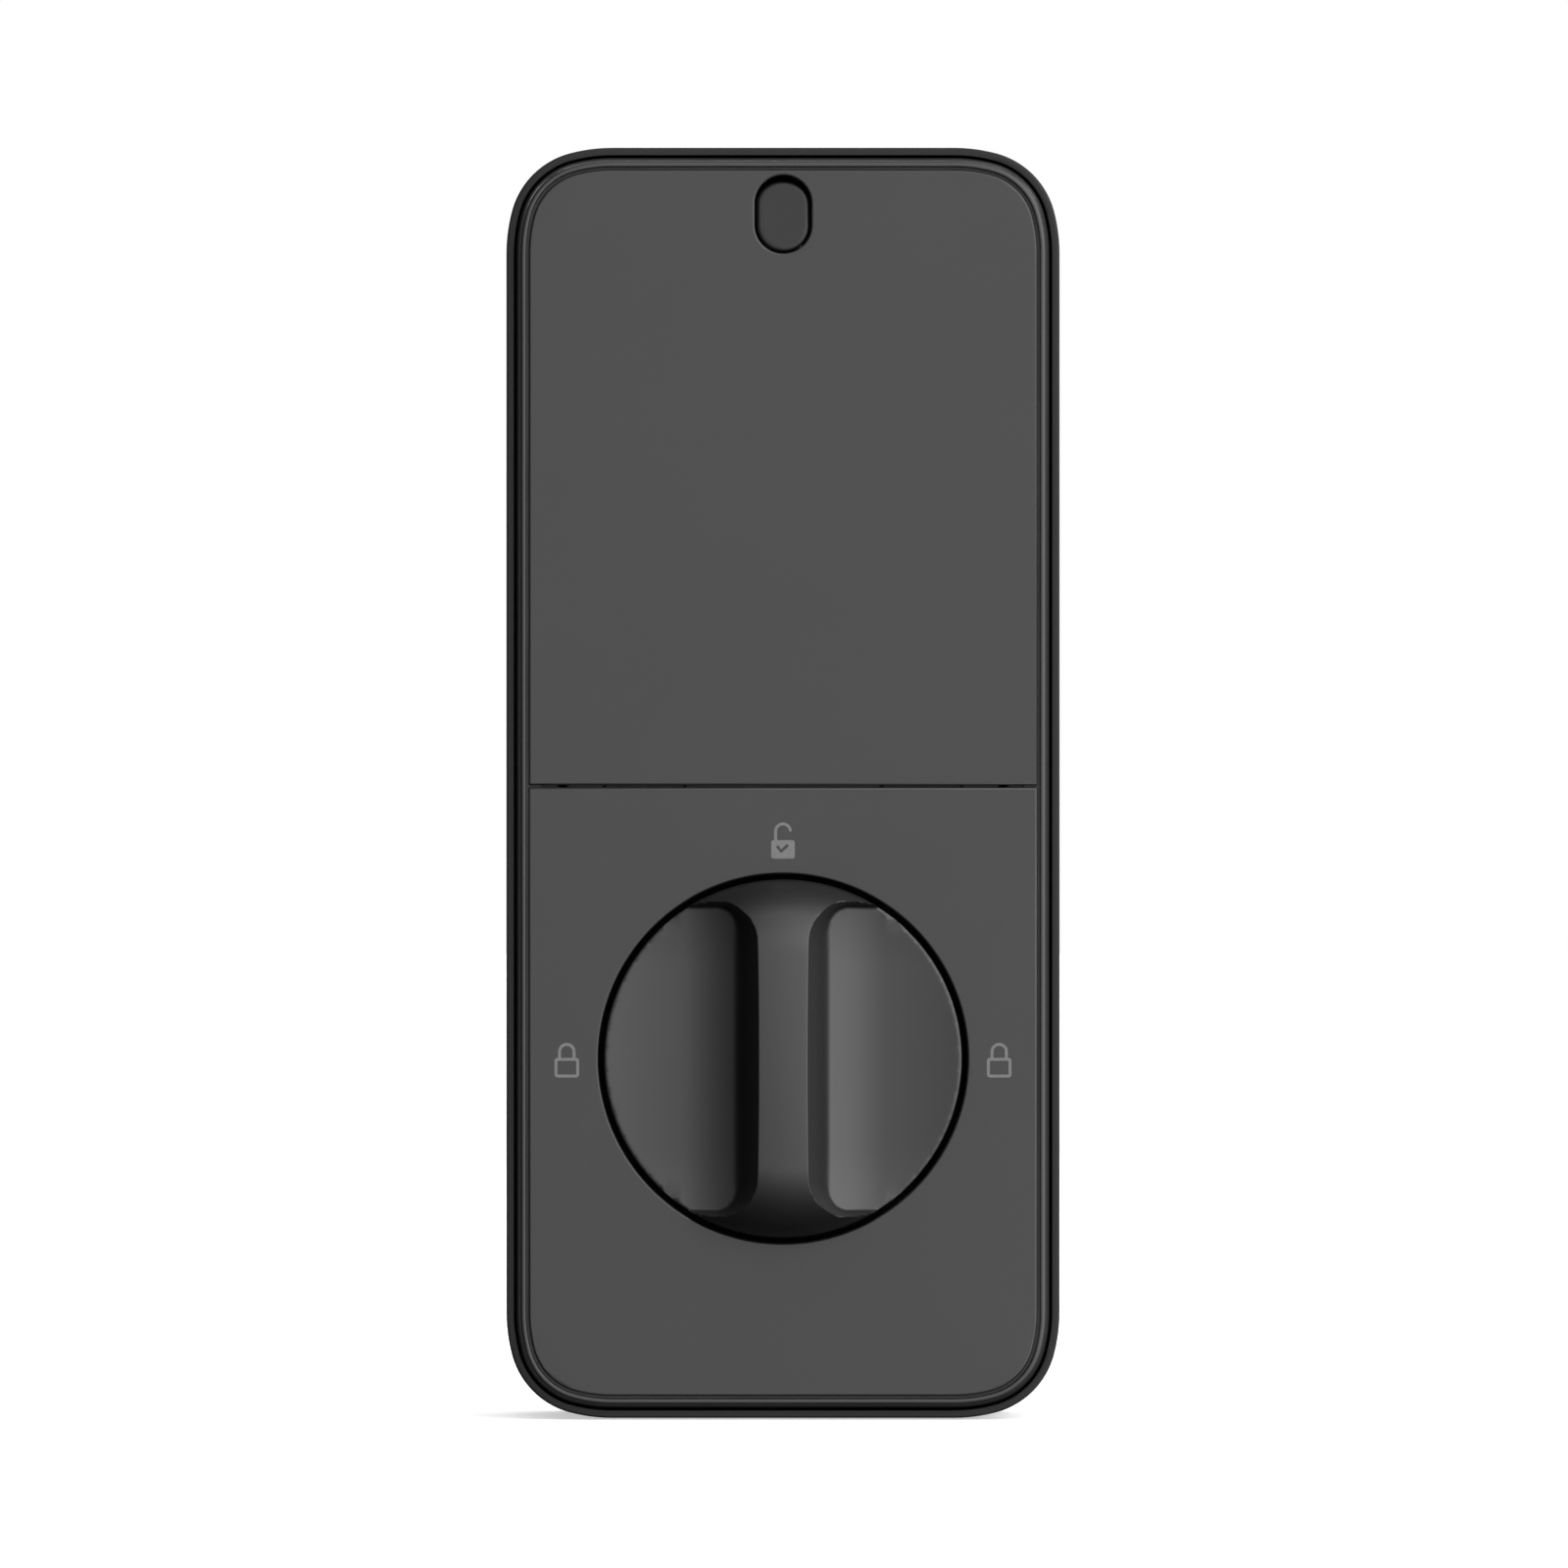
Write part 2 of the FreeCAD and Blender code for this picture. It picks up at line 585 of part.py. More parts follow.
def latch_spring():
    """Torsion spring on the latch's pin, drawn as the sleeve that its coils fill."""
    sleeve = rod_x(LATCH_SPRING_R, 1.3, 4.0, LATCH_PIN_Y, LATCH_PIN_Z)
    leg = box(3.4, 4.0, PANEL_BACK, LATCH_PIN_Y, LATCH_PIN_Z - LATCH_SPRING_R, LATCH_PIN_Z - 0.75)
    return join([sleeve, leg]).cut(rod_x(LATCH_PIN_R + RUN_FIT, 1, 5, LATCH_PIN_Y, LATCH_PIN_Z))


def cover_pads():
    """Foam strips on the inside of the cover that keep the cells still."""
    heights = (BAY_BOTTOM + 15, BAY_TOP - 15)
    return [box(-26, 26, PANEL_BACK, PANEL_BACK + PAD_T, z - 4, z + 4) for z in heights]


# ---- Battery tray ----

def battery_tray():
    """Tray with one trough for each cell, a front flange, screw wells and the latch's well."""
    wall = TRAY_WALL
    flange = slab(FRAME_INNER + 0.2, LEDGE_BACK, LEDGE_BACK + wall).common(
        box(-BODY_W, BODY_W, LEDGE_BACK, 0, FLANGE_BOTTOM, BODY_TOP))
    z0, z1 = BAY_BOTTOM - wall + 0.3, BAY_TOP + wall
    outer = [box(-BAY_HALF_W - wall, BAY_HALF_W + wall, LEDGE_BACK, CELL_AXIS_Y + wall, z0, z1)]
    behind = box(-BODY_W, BODY_W, CELL_AXIS_Y, 0, z0, z1)
    outer += [rod_z(CELL_HOUSING_R + TROUGH_WALL, z0, z1, x, CELL_AXIS_Y).common(behind) for x in CELL_XS]
    well_half = WELL_HALF_W + WELL_WALL
    well = box(-well_half, well_half, LEDGE_BACK, WELL_FLOOR_Y + WELL_WALL,
               WELL_BOTTOM - WELL_WALL, BODY_TOP - FRAME_INNER - 0.2)
    tubes = [rod(4.5, LEDGE_BACK, BACK_FRONT, x, z) for x, z in plate_screw_places()]
    tray = join([flange, well] + outer + tubes)
    cuts = [box(-BAY_HALF_W, BAY_HALF_W, LEDGE_BACK, CELL_AXIS_Y, BAY_BOTTOM, BAY_TOP)]
    cuts += [rod_z(CELL_HOUSING_R, BAY_BOTTOM, BAY_TOP, x, CELL_AXIS_Y) for x in CELL_XS]
    cuts.append(box(-WELL_HALF_W, WELL_HALF_W, LEDGE_BACK, WELL_FLOOR_Y, WELL_BOTTOM, BODY_TOP))
    cuts += [rod(BOSS_R + BOSS_GAP, LEDGE_BACK, BACK_FRONT, x, z) for x, z in boss_places()]
    cuts += [rod(3.4, LEDGE_BACK, BACK_FRONT - 2.4, x, z) for x, z in plate_screw_places()]
    cuts += [rod(PLATE_SCREW_R + 0.1, LEDGE_BACK, BACK_FRONT, x, z) for x, z in plate_screw_places()]
    cuts.append(rod(BUTTON_R + 0.08, LEDGE_BACK, LEDGE_BACK + wall, BUTTON_X, BUTTON_Z))
    return tray.cut(cuts)


def battery(index):
    """AA cell; even cells stand with the plus end up and odd ones with it down."""
    x = CELL_XS[index]
    if index % 2 == 0:
        top = BAY_TOP - CONTACT_T
        body = rod_z(CELL_D / 2, top - CELL_L, top - NUB_L, x, CELL_AXIS_Y)
        nub = rod_z(NUB_D / 2, top - NUB_L, top, x, CELL_AXIS_Y)
    else:
        foot = BAY_BOTTOM + CONTACT_T
        body = rod_z(CELL_D / 2, foot + NUB_L, foot + CELL_L, x, CELL_AXIS_Y)
        nub = rod_z(NUB_D / 2, foot, foot + NUB_L, x, CELL_AXIS_Y)
    return join([body, nub])


def battery_contacts():
    """Terminal plates at the top and bridges between neighbouring cells."""
    half = 5.0
    top, foot = BAY_TOP - CONTACT_T, BAY_BOTTOM
    groups = [(top, (0,)), (top, (1, 2)), (top, (3,)), (foot, (0, 1)), (foot, (2, 3))]
    plates = []
    for z, cells in groups:
        x0, x1 = CELL_XS[cells[0]], CELL_XS[cells[-1]]
        strip = box(x0 - half, x1 + half, CELL_AXIS_Y - half, CELL_AXIS_Y, z, z + CONTACT_T)
        discs = [rod_z(half, z, z + CONTACT_T, CELL_XS[i], CELL_AXIS_Y) for i in cells]
        plates.append(join([strip] + discs))
    return plates


def battery_springs():
    """Conical contact springs at the minus ends, drawn as the cone that their coils fill."""
    springs = []
    for index, x in enumerate(CELL_XS):
        if index % 2 == 0:
            foot, way = BAY_BOTTOM + CONTACT_T, 1
        else:
            foot, way = BAY_TOP - CONTACT_T, -1
        outer = Part.makeCone(4.2, 2.4, SPRING_SPACE, V(x, CELL_AXIS_Y, foot), V(0, 0, way))
        inner = Part.makeCone(3.4, 1.6, SPRING_SPACE, V(x, CELL_AXIS_Y, foot), V(0, 0, way))
        springs.append(outer.cut(inner))
    return springs


# ---- Electronics ----

def main_board():
    """Circuit board behind the tray, with a tongue that carries the setup switch."""
    board = join([
        plate(-BOARD_HALF_W, BOARD_HALF_W, BOARD_BOTTOM, BOARD_TOP, 2.0, BOARD_FRONT, BOARD_BACK),
        box(-18, 18, BOARD_FRONT, BOARD_BACK, BOARD_TOP - 3, BUTTON_Z + 6),
    ])
    return board.cut([rod(SMALL_SCREW_R + THREAD_FIT, BOARD_FRONT, BOARD_BACK, x, z)
                      for x, z in board_screw_places()])


def on_board(x0, x1, z0, z1, high):
    """Component that stands on the front of the board."""
    return box(x0, x1, BOARD_FRONT - high, BOARD_FRONT, z0, z1)


def radio_module():
    can = box(-7.2, 9.2, BOARD_FRONT - 3.0, BOARD_FRONT - 0.8, 62.8, 81)
    return on_board(-8, 10, 62, 88, 0.8).fuse(can)


def buzzer():
    return rod(4.5, BOARD_FRONT - 3.2, BOARD_FRONT, -17.5, 76).cut(
        rod(0.6, BOARD_FRONT - 3.2, BOARD_FRONT - 2.0, -17.5, 76))


def board_components():
    """Motor driver, capacitors, a crystal and small chips."""
    chips = [on_board(-4, 4, 48, 56, 1.0), on_board(14, 20, 66, 72, 1.0), on_board(-20, -15, 58, 64, 1.2)]
    caps = [rod(2.5, BOARD_FRONT - 3.4, BOARD_FRONT, x, 48) for x in (-14, -20)]
    passives = [on_board(x, x + 1.0, 58.4, 60.0, 0.5) for x in (12, 14, 16, 18, 20)]
    return chips + caps + passives


def cable_header():
    """Socket for the cable that comes through the door, reached from the cable port."""
    shell = on_board(8, 17, 45, 51, 3.6)
    return shell.cut(box(9, 16, BOARD_FRONT - 3.6, BOARD_FRONT - 1.0, 46, 50))


def setup_switch():
    return on_board(BUTTON_X - 3, BUTTON_X + 3, BUTTON_Z - 3, BUTTON_Z + 3, SWITCH_H)


def setup_button():
    """Plunger through the tray's flange that presses the switch on the board."""
    front = LEDGE_BACK - 0.3
    back = BOARD_FRONT - SWITCH_H - BUTTON_TRAVEL - 0.3
    collar_y = LEDGE_BACK + TRAY_WALL + 0.3
    return join([rod(BUTTON_R, front, back, BUTTON_X, BUTTON_Z),
                 rod(BUTTON_R + 0.8, collar_y, collar_y + 1.0, BUTTON_X, BUTTON_Z)])


def motor_flex():
    """Flat flexible lead from the motor's rim, over the gearbox cover, to the board."""
    t, step, motor_top = 0.2, 0.1, motor_place()[1] + MOTOR_D / 2
    y0 = GEARBOX_COVER_Y - step - t
    y1 = BOARD_FRONT
    over, foot = GEARBOX_COVER_TOP + 0.7, BOARD_BOTTOM + 1.5
    points = [(y0, motor_top), (y0 + t, motor_top), (y0 + t, over), (y1 - t, foot - 0.9), (y1 - t, foot),
              (y1, foot), (y1, foot + 4), (y1 - 2 * t, foot + 4), (y1 - 2 * t, foot - 0.7),
              (y0, over + 0.2)]
    return polygon_x(points, 13.0, 17.0)


# ---- Gear drive ----

def polar(r, degrees, x=0.0, z=0.0):
    a = math.radians(degrees)
    return (x + r * math.cos(a), z + r * math.sin(a))


def centre_distance(teeth_a, teeth_b, module):
    return (teeth_a + teeth_b) * module / 2


def second_place():
    return polar(centre_distance(OUT_TEETH, PINION_TEETH, OUT_MODULE), SECOND_DEG)


def first_place():
    distance = centre_distance(SECOND_WHEEL_TEETH, PINION_TEETH, SECOND_WHEEL_MODULE)
    return polar(distance, FIRST_DEG, *second_place())


def motor_place():
    distance = centre_distance(FIRST_WHEEL_TEETH, MOTOR_PINION_TEETH, FIRST_WHEEL_MODULE)
    return polar(distance, MOTOR_DEG, *first_place())


def meshed_phase(phase, teeth, line_deg, mate_teeth):
    """Angle of a mate's tooth so that it meshes with a gear whose tooth stands at phase."""
    along = (phase - line_deg) / (360.0 / teeth)
    return line_deg + 180.0 + (360.0 / mate_teeth) * (0.5 - along)


def involute(angle):
    return math.tan(angle) - angle


def gear(teeth, module, shift, phase, y0, y1, x, z):
    """Spur gear whose flanks are arcs through three points of the involute."""
    pressure = math.radians(PRESSURE_DEG)
    pitch_r = teeth * module / 2
    base_r = pitch_r * math.cos(pressure)
    tip_r = pitch_r + module * (1 + shift)
    root_r = pitch_r - module * (1.25 - shift)
    thickness = module * (math.pi / 2 + 2 * shift * math.tan(pressure)) - BACKLASH
    half_pitch = thickness / (2 * pitch_r)

    def half_angle(r):
        return half_pitch + involute(pressure) - involute(math.acos(min(1.0, base_r / r)))

    def point(r, angle):
        return V(x + r * math.cos(angle), 0, z + r * math.sin(angle))

    start_r = max(base_r, root_r)
    middle_r = (start_r + tip_r) / 2
    step = 2 * math.pi / teeth
    edges = []
    for tooth in range(teeth):
        mid = math.radians(phase) + tooth * step
        for side in (-1, 1):
            foot, waist, tip = (point(r, mid + side * half_angle(r)) for r in (start_r, middle_r, tip_r))
            edges.append(arc(foot, waist, tip))
            if start_r > root_r:
                edges.append(line(point(root_r, mid + side * half_angle(start_r)), foot))
        edges.append(arc(point(tip_r, mid - half_angle(tip_r)), point(tip_r, mid),
                         point(tip_r, mid + half_angle(tip_r))))
        edges.append(arc(point(root_r, mid + half_angle(start_r)), point(root_r, mid + step / 2),
                         point(root_r, mid + step - half_angle(start_r))))
    return prism_y(edges, y0, y1)


OUT_PHASE = 0.0
SECOND_PHASE = meshed_phase(OUT_PHASE, OUT_TEETH, SECOND_DEG, PINION_TEETH)
FIRST_PHASE = meshed_phase(SECOND_PHASE, SECOND_WHEEL_TEETH, FIRST_DEG, PINION_TEETH)
MOTOR_PHASE = meshed_phase(FIRST_PHASE, FIRST_WHEEL_TEETH, MOTOR_DEG, MOTOR_PINION_TEETH)


def output_gear():
    """Large gear on the spindle's flat, with six lightening holes."""
    blank = gear(OUT_TEETH, OUT_MODULE, -PINION_SHIFT, OUT_PHASE, OUT_FRONT, OUT_BACK, 0, 0)
    holes = [rod(2.6, OUT_FRONT, OUT_BACK, *polar(12.5, 60 * i + 30)) for i in range(6)]
    return blank.cut([flatted_rod(OUT_FRONT, OUT_BACK)] + holes)


def gear_stage_2():
    """Compound gear: its pinion drives the output gear."""
    x, z = second_place()
    wheel = gear(SECOND_WHEEL_TEETH, SECOND_WHEEL_MODULE, -PINION_SHIFT, SECOND_PHASE,
                 SECOND_FRONT, SECOND_BACK, x, z)
    pinion = gear(PINION_TEETH, OUT_MODULE, PINION_SHIFT, SECOND_PHASE, SECOND_BACK, OUT_BACK, x, z)
    hub = rod(3.0, MOTOR_PINION_FRONT, SECOND_FRONT, x, z)
    return join([wheel, pinion, hub]).cut(rod(AXLE_R + RUN_FIT, MOTOR_PINION_FRONT, OUT_BACK, x, z))


def gear_stage_1():
    """Compound gear: driven by the motor's pinion, its own pinion drives the second stage."""
    x, z = first_place()
    pinion_back, hub_back = SECOND_BACK + OVERHANG, GEARBOX_FLOOR_Y - 0.3
    wheel = gear(FIRST_WHEEL_TEETH, FIRST_WHEEL_MODULE, -MOTOR_PINION_SHIFT, FIRST_PHASE,
                 FIRST_FRONT, FIRST_BACK, x, z)
    pinion = gear(PINION_TEETH, SECOND_WHEEL_MODULE, PINION_SHIFT, FIRST_PHASE,
                  FIRST_BACK, pinion_back, x, z)
    hub = rod(2.5, pinion_back, hub_back, x, z)
    return join([wheel, pinion, hub]).cut(rod(AXLE_R + RUN_FIT, FIRST_FRONT, hub_back, x, z))


def motor_pinion():
    x, z = motor_place()
    blank = gear(MOTOR_PINION_TEETH, FIRST_WHEEL_MODULE, MOTOR_PINION_SHIFT, MOTOR_PHASE,
                 MOTOR_PINION_FRONT, MOTOR_PINION_BACK, x, z)
    return blank.cut(rod(MOTOR_SHAFT_R, MOTOR_PINION_FRONT, MOTOR_PINION_BACK, x, z))


def motor_shaft():
    return rod(MOTOR_SHAFT_R, GEARBOX_COVER_Y - MOTOR_L + 2, MOTOR_PINION_BACK + OVERHANG, *motor_place())


def motor():
    """Flat motor can with a locating boss and a bore for its shaft."""
    x, z = motor_place()
    can = rod(MOTOR_D / 2, GEARBOX_COVER_Y - MOTOR_L, GEARBOX_COVER_Y, x, z)
    boss = rod(3.0, GEARBOX_COVER_Y, GEARBOX_COVER_BACK, x, z)
    bores = [rod(MOTOR_SHAFT_R + RUN_FIT, GEARBOX_COVER_Y - MOTOR_L + 1.9, GEARBOX_COVER_BACK, x, z)]
    for place in motor_screw_places():
        bores.append(rod(SMALL_SCREW_R + THREAD_FIT, GEARBOX_COVER_Y - 3, GEARBOX_COVER_Y, *place))
    return join([can, boss]).cut(bores)


def motor_screw_places():
    x, z = motor_place()
    return [polar(7.0, MOTOR_DEG + s * 90, x, z) for s in (1, -1)]


def gearbox_plate(y0, y1, top):
    """Outline of both gearbox plates, cut back round the case's screw bosses."""
    foot = BODY_BOTTOM + GEARBOX_FOOT_GAP
    outline = plate(-GEARBOX_HALF_W, GEARBOX_HALF_W, foot, top, GEARBOX_CORNER, y0, y1)
    return outline.cut([rod(BOSS_R + 0.3, y0, y1, x, z) for x, z in boss_places()])


def gearbox_base():
    floor = gearbox_plate(GEARBOX_FLOOR_Y, BACK_FRONT, GEARBOX_TOP)
    cuts = [rod(BUSH_FLANGE_R + 0.1, GEARBOX_FLOOR_Y, BACK_FRONT)]
    cuts += [rod(CASE_SCREW_R + THREAD_FIT, GEARBOX_FLOOR_Y, BACK_FRONT, x, z) for x, z in POSTS]
    cuts += [rod(AXLE_R, GEARBOX_FLOOR_Y, BACK_FRONT, *p) for p in (second_place(), first_place())]
    return floor.cut(cuts)


def gearbox_cover():
    y0, y1 = GEARBOX_COVER_Y, GEARBOX_COVER_BACK
    cover = gearbox_plate(y0, y1, GEARBOX_COVER_TOP)
    cuts = [rod(BUSH_R, y0, y1), rod(3.0, y0, y1, *motor_place())]
    cuts += [rod(CASE_SCREW_R + THREAD_FIT, y0, y1, x, z) for x, z in POSTS]
    cuts += [rod(AXLE_R, y0, y1, *p) for p in (second_place(), first_place())]
    cuts += [rod(SMALL_SCREW_R + THREAD_FIT, y0, y1, *p) for p in motor_screw_places()]
    return cover.cut(cuts)


def gearbox_posts():
    bore = CASE_SCREW_R + THREAD_FIT
    return [tube(POST_R, bore, GEARBOX_COVER_BACK, GEARBOX_FLOOR_Y, x, z) for x, z in POSTS]


def gear_axles():
    return [rod(AXLE_R, GEARBOX_COVER_Y, BACK_FRONT, *p) for p in (second_place(), first_place())]


# ---- Thumbturn ----

def dome():
    """Round puck whose front edge is a quarter round up to a flat crest."""
    outer, crest_r = KNOB_R, KNOB_R - DOME_R
    shoulder = PANEL_Y
    bend = math.sqrt(0.5)
    middle = V(crest_r + DOME_R * bend, shoulder - KNOB_RISE * bend, 0)
    edges = [
        line(V(0, KNOB_BACK_Y, 0), V(outer, KNOB_BACK_Y, 0)),
        line(V(outer, KNOB_BACK_Y, 0), V(outer, shoulder, 0)),
        arc(V(outer, shoulder, 0), middle, V(crest_r, CREST_Y, 0)),
        line(V(crest_r, CREST_Y, 0), V(0, CREST_Y, 0)),
        line(V(0, CREST_Y, 0), V(0, KNOB_BACK_Y, 0)),
    ]
    return Part.Face(Part.Wire(edges)).revolve(V(0, 0, 0), V(0, 1, 0), 360)


def pocket_floor(x):
    """Depth of a scoop's floor behind the panel's face: a dish that rises faster towards the grip."""
    low, foot = POCKET_LOW_X, GRIP_W / 2 + GRIP_LEAN
    if x < low:
        return POCKET_DEPTH - POCKET_INNER_RISE * ((low - x) / (low - foot)) ** 2
    return POCKET_DEPTH - POCKET_OUTER_RISE * ((x - low) / (KNOB_R - low)) ** 2


def finger_pocket(side):
    """Cutter for one scoop beside the grip: a round-cornered footprint over a dished floor."""
    wall, far, high = GRIP_W / 2, KNOB_R + 2, POCKET_HALF_H
    c = POCKET_CORNER
    bend = c * (1 - math.sqrt(0.5))
    y_top = CREST_Y - 1
    edges = [
        line(V(wall, 0, high - c), V(wall, 0, c - high)),
        arc(V(wall, 0, c - high), V(wall + bend, 0, bend - high), V(wall + c, 0, -high)),
        line(V(wall + c, 0, -high), V(far, 0, -high)),
        line(V(far, 0, -high), V(far, 0, high)),
        line(V(far, 0, high), V(wall + c, 0, high)),
        arc(V(wall + c, 0, high), V(wall + bend, 0, high - bend), V(wall, 0, high - c)),
    ]
    footprint = prism_y(edges, y_top, KNOB_BACK_Y)
    foot, low = wall + GRIP_LEAN, POCKET_LOW_X

    def floor_point(x):
        return V(x, PANEL_Y + pocket_floor(x), -high)

    section = [
        line(V(wall, y_top, -high), V(far, y_top, -high)),
        line(V(far, y_top, -high), floor_point(far)),
        arc(floor_point(far), floor_point((far + low) / 2), floor_point(low)),
        arc(floor_point(low), floor_point((low + foot) / 2), floor_point(foot)),
        line(floor_point(foot), V(wall, CREST_Y, -high)),
        line(V(wall, CREST_Y, -high), V(wall, y_top, -high)),
    ]
    floor = Part.Face(Part.Wire(section)).extrude(V(0, 0, 2 * high))
    cutter = footprint.common(floor)
    if side < 0:
        cutter = cutter.mirror(V(0, 0, 0), V(1, 0, 0))
    return cutter


def thumbturn_knob():
    """Grip knob: domed puck with two scoops, hollowed from behind round a centre boss."""
    boss = rod(SPINDLE_FLANGE_D / 2, KNOB_BACK_Y, flange_front())
    knob = join([dome(), boss])
    relief = tube(KNOB_R - 2.2, SPINDLE_FLANGE_D / 2 + 2, PANEL_Y + POCKET_DEPTH + 2, KNOB_BACK_Y)
    pilots = [rod(SMALL_SCREW_R + THREAD_FIT, flange_front() - 6.5, flange_front(), x, z)
              for x, z in spindle_screw_places()]
    return knob.cut([finger_pocket(1), finger_pocket(-1), relief] + pilots)


def flange_front():
    """Front face of the spindle's flange, against the knob's boss."""
    return GEARBOX_COVER_Y - BUSH_FLANGE_T - FLANGE_GAP - SPINDLE_FLANGE_T


def spindle_screw_places():
    return [polar(SPINDLE_SCREW_R, a) for a in (90, 210, 330)]


def spindle_screws():
    """Countersunk screws that hold the spindle's flange to the knob."""
    back = flange_front() + SPINDLE_FLANGE_T
    screws = []
    for x, z in spindle_screw_places():
        head = Part.makeCone(SMALL_SCREW_R, 2.0, 1.0, V(x, back - 1.0, z), V(0, 1, 0))
        slot = box(x - 1.3, x + 1.3, back - 0.5, back, z - 0.25, z + 0.25)
        screws.append(join([head, rod(SMALL_SCREW_R, back - 8.0, back - 1.0, x, z)]).cut(slot))
    return screws


def flatted_rod(y0, y1):
    """The spindle's section where the output gear sits: round with one flat."""
    return rod(SPINDLE_R, y0, y1).common(box(-SPINDLE_R, SPINDLE_FLAT, y0, y1, -SPINDLE_R, SPINDLE_R))


def thumbturn_spindle():
    """Flanged shaft with a flat for the gear, a clip groove and a slot for the bolt's tailpiece."""
    front = flange_front()
    back = front + SPINDLE_FLANGE_T
    shaft = join([rod(SPINDLE_FLANGE_D / 2, front, back), rod(SPINDLE_R, back, OUT_FRONT),
                  flatted_rod(OUT_FRONT, OUT_BACK), rod(SPINDLE_R, OUT_BACK, SPINDLE_END)])
    cuts = [tube(SPINDLE_R, SPINDLE_R - CLIP_BITE, CLIP_FRONT, CLIP_BACK)]
    cuts.append(box(-TAILPIECE_T / 2, TAILPIECE_T / 2, SPINDLE_END - TAILPIECE_DEEP, SPINDLE_END,
                    -TAILPIECE_W / 2, TAILPIECE_W / 2))
    for x, z in spindle_screw_places():
        cuts.append(rod(SMALL_SCREW_R, front, back, x, z))
        cuts.append(Part.makeCone(SMALL_SCREW_R, 2.0, 1.0, V(x, back - 1.0, z), V(0, 1, 0)))
    cuts.append(rod(1.5, back - 1.5, back, *magnet_place()))
    return shaft.cut(cuts)


def magnet_place():
    return polar(SPINDLE_SCREW_R, 270)


def position_magnet():
    back = flange_front() + SPINDLE_FLANGE_T
    return rod(1.5, back - 1.5, back, *magnet_place())


def retaining_clip():
    """Open clip in the spindle's groove, in front of the output gear."""
    clip = tube(CLIP_R, SPINDLE_R - CLIP_BITE, CLIP_FRONT, CLIP_BACK)
    mouth = SPINDLE_R - 2.6
    return clip.cut(box(-mouth, mouth, CLIP_FRONT, CLIP_BACK, 0, CLIP_R + 1))


def spindle_bush(plate_front, plate_back, flange_y0, flange_y1):
    """Flanged bush; the flange lies against one side of the wall that holds it."""
    bush = join([rod(BUSH_R, plate_front, plate_back), rod(BUSH_FLANGE_R, flange_y0, flange_y1)])
    return bush.cut(rod(SPINDLE_R + RUN_FIT, flange_y0, plate_back))


def front_bush():
    front = GEARBOX_COVER_Y
    return spindle_bush(front, GEARBOX_COVER_BACK, front - BUSH_FLANGE_T, front)


def rear_bush():
    return spindle_bush(BACK_FRONT, BACK_REAR, BACK_FRONT - BUSH_FLANGE_T, BACK_FRONT)


# ---- Door plate and fasteners ----

def mounting_plate():
    """Steel plate bolted to the door, with a bent lug for the housing's bottom screw."""
    sheet = plate(-PLATE_HALF_W, PLATE_HALF_W, PLATE_BOTTOM, PLATE_TOP, PLATE_CORNER, -PLATE_T, 0)
    lug = box(-6, 6, -LUG_REACH, 0, PLATE_BOTTOM - PLATE_T, PLATE_BOTTOM)
    cuts = [rod(CENTRE_HOLE_R, -PLATE_T, 0), cable_port(-PLATE_T, 0)]
    cuts += [rod(BOLT_HOLE_R, -PLATE_T, 0, s * BOLT_SPACING / 2, 0) for s in (1, -1)]
    cuts += [rod(PLATE_SCREW_R + THREAD_FIT, -PLATE_T, 0, x, z) for x, z in plate_screw_places()]
    cuts.append(rod_z(BOTTOM_SCREW_R + THREAD_FIT, PLATE_BOTTOM - 2, PLATE_BOTTOM + 1.5, 0, BOTTOM_SCREW_Y))
    return join([sheet, lug]).cut(cuts)


def plate_standoffs():
    bore = PLATE_SCREW_R + THREAD_FIT
    return [tube(3.5, bore, BACK_REAR, -PLATE_T, x, z) for x, z in plate_screw_places()]


def case_screws():
    return [screw(CASE_SCREW_R, 2.4, BACK_REAR, BACK_FRONT - 7, x, z) for x, z in boss_places()]


def gearbox_screws():
    """Short screws into both ends of the posts."""
    front = [screw(CASE_SCREW_R, 2.4, GEARBOX_COVER_Y, GEARBOX_COVER_BACK + 3.5, x, z) for x, z in POSTS]
    back = [screw(CASE_SCREW_R, 2.4, BACK_REAR, GEARBOX_FLOOR_Y - 3.5, x, z) for x, z in POSTS]
    return front + back


def motor_screws():
    return [screw(SMALL_SCREW_R, 1.9, GEARBOX_COVER_BACK, GEARBOX_COVER_Y - 2.5, *p)
            for p in motor_screw_places()]


def board_screws():
    return [screw(SMALL_SCREW_R, 1.9, BOARD_FRONT, BACK_REAR - 0.4, x, z) for x, z in board_screw_places()]


def plate_screws():
    return [screw(PLATE_SCREW_R, 2.9, BACK_FRONT - 2.4, -0.2, x, z) for x, z in plate_screw_places()]


def bottom_screw():
    """Screw from below into the mounting plate's lug."""
    foot, seat, y = BODY_BOTTOM + 0.1, BODY_BOTTOM + BOTTOM_HEAD_SEAT, BOTTOM_SCREW_Y
    head = rod_z(BOTTOM_HEAD_R, foot, seat, 0, y)
    slot = box(-1.5, 1.5, y - 0.25, y + 0.25, foot, foot + 0.6)
    return join([head, rod_z(BOTTOM_SCREW_R, seat, PLATE_BOTTOM + 1.0, 0, y)]).cut(slot)


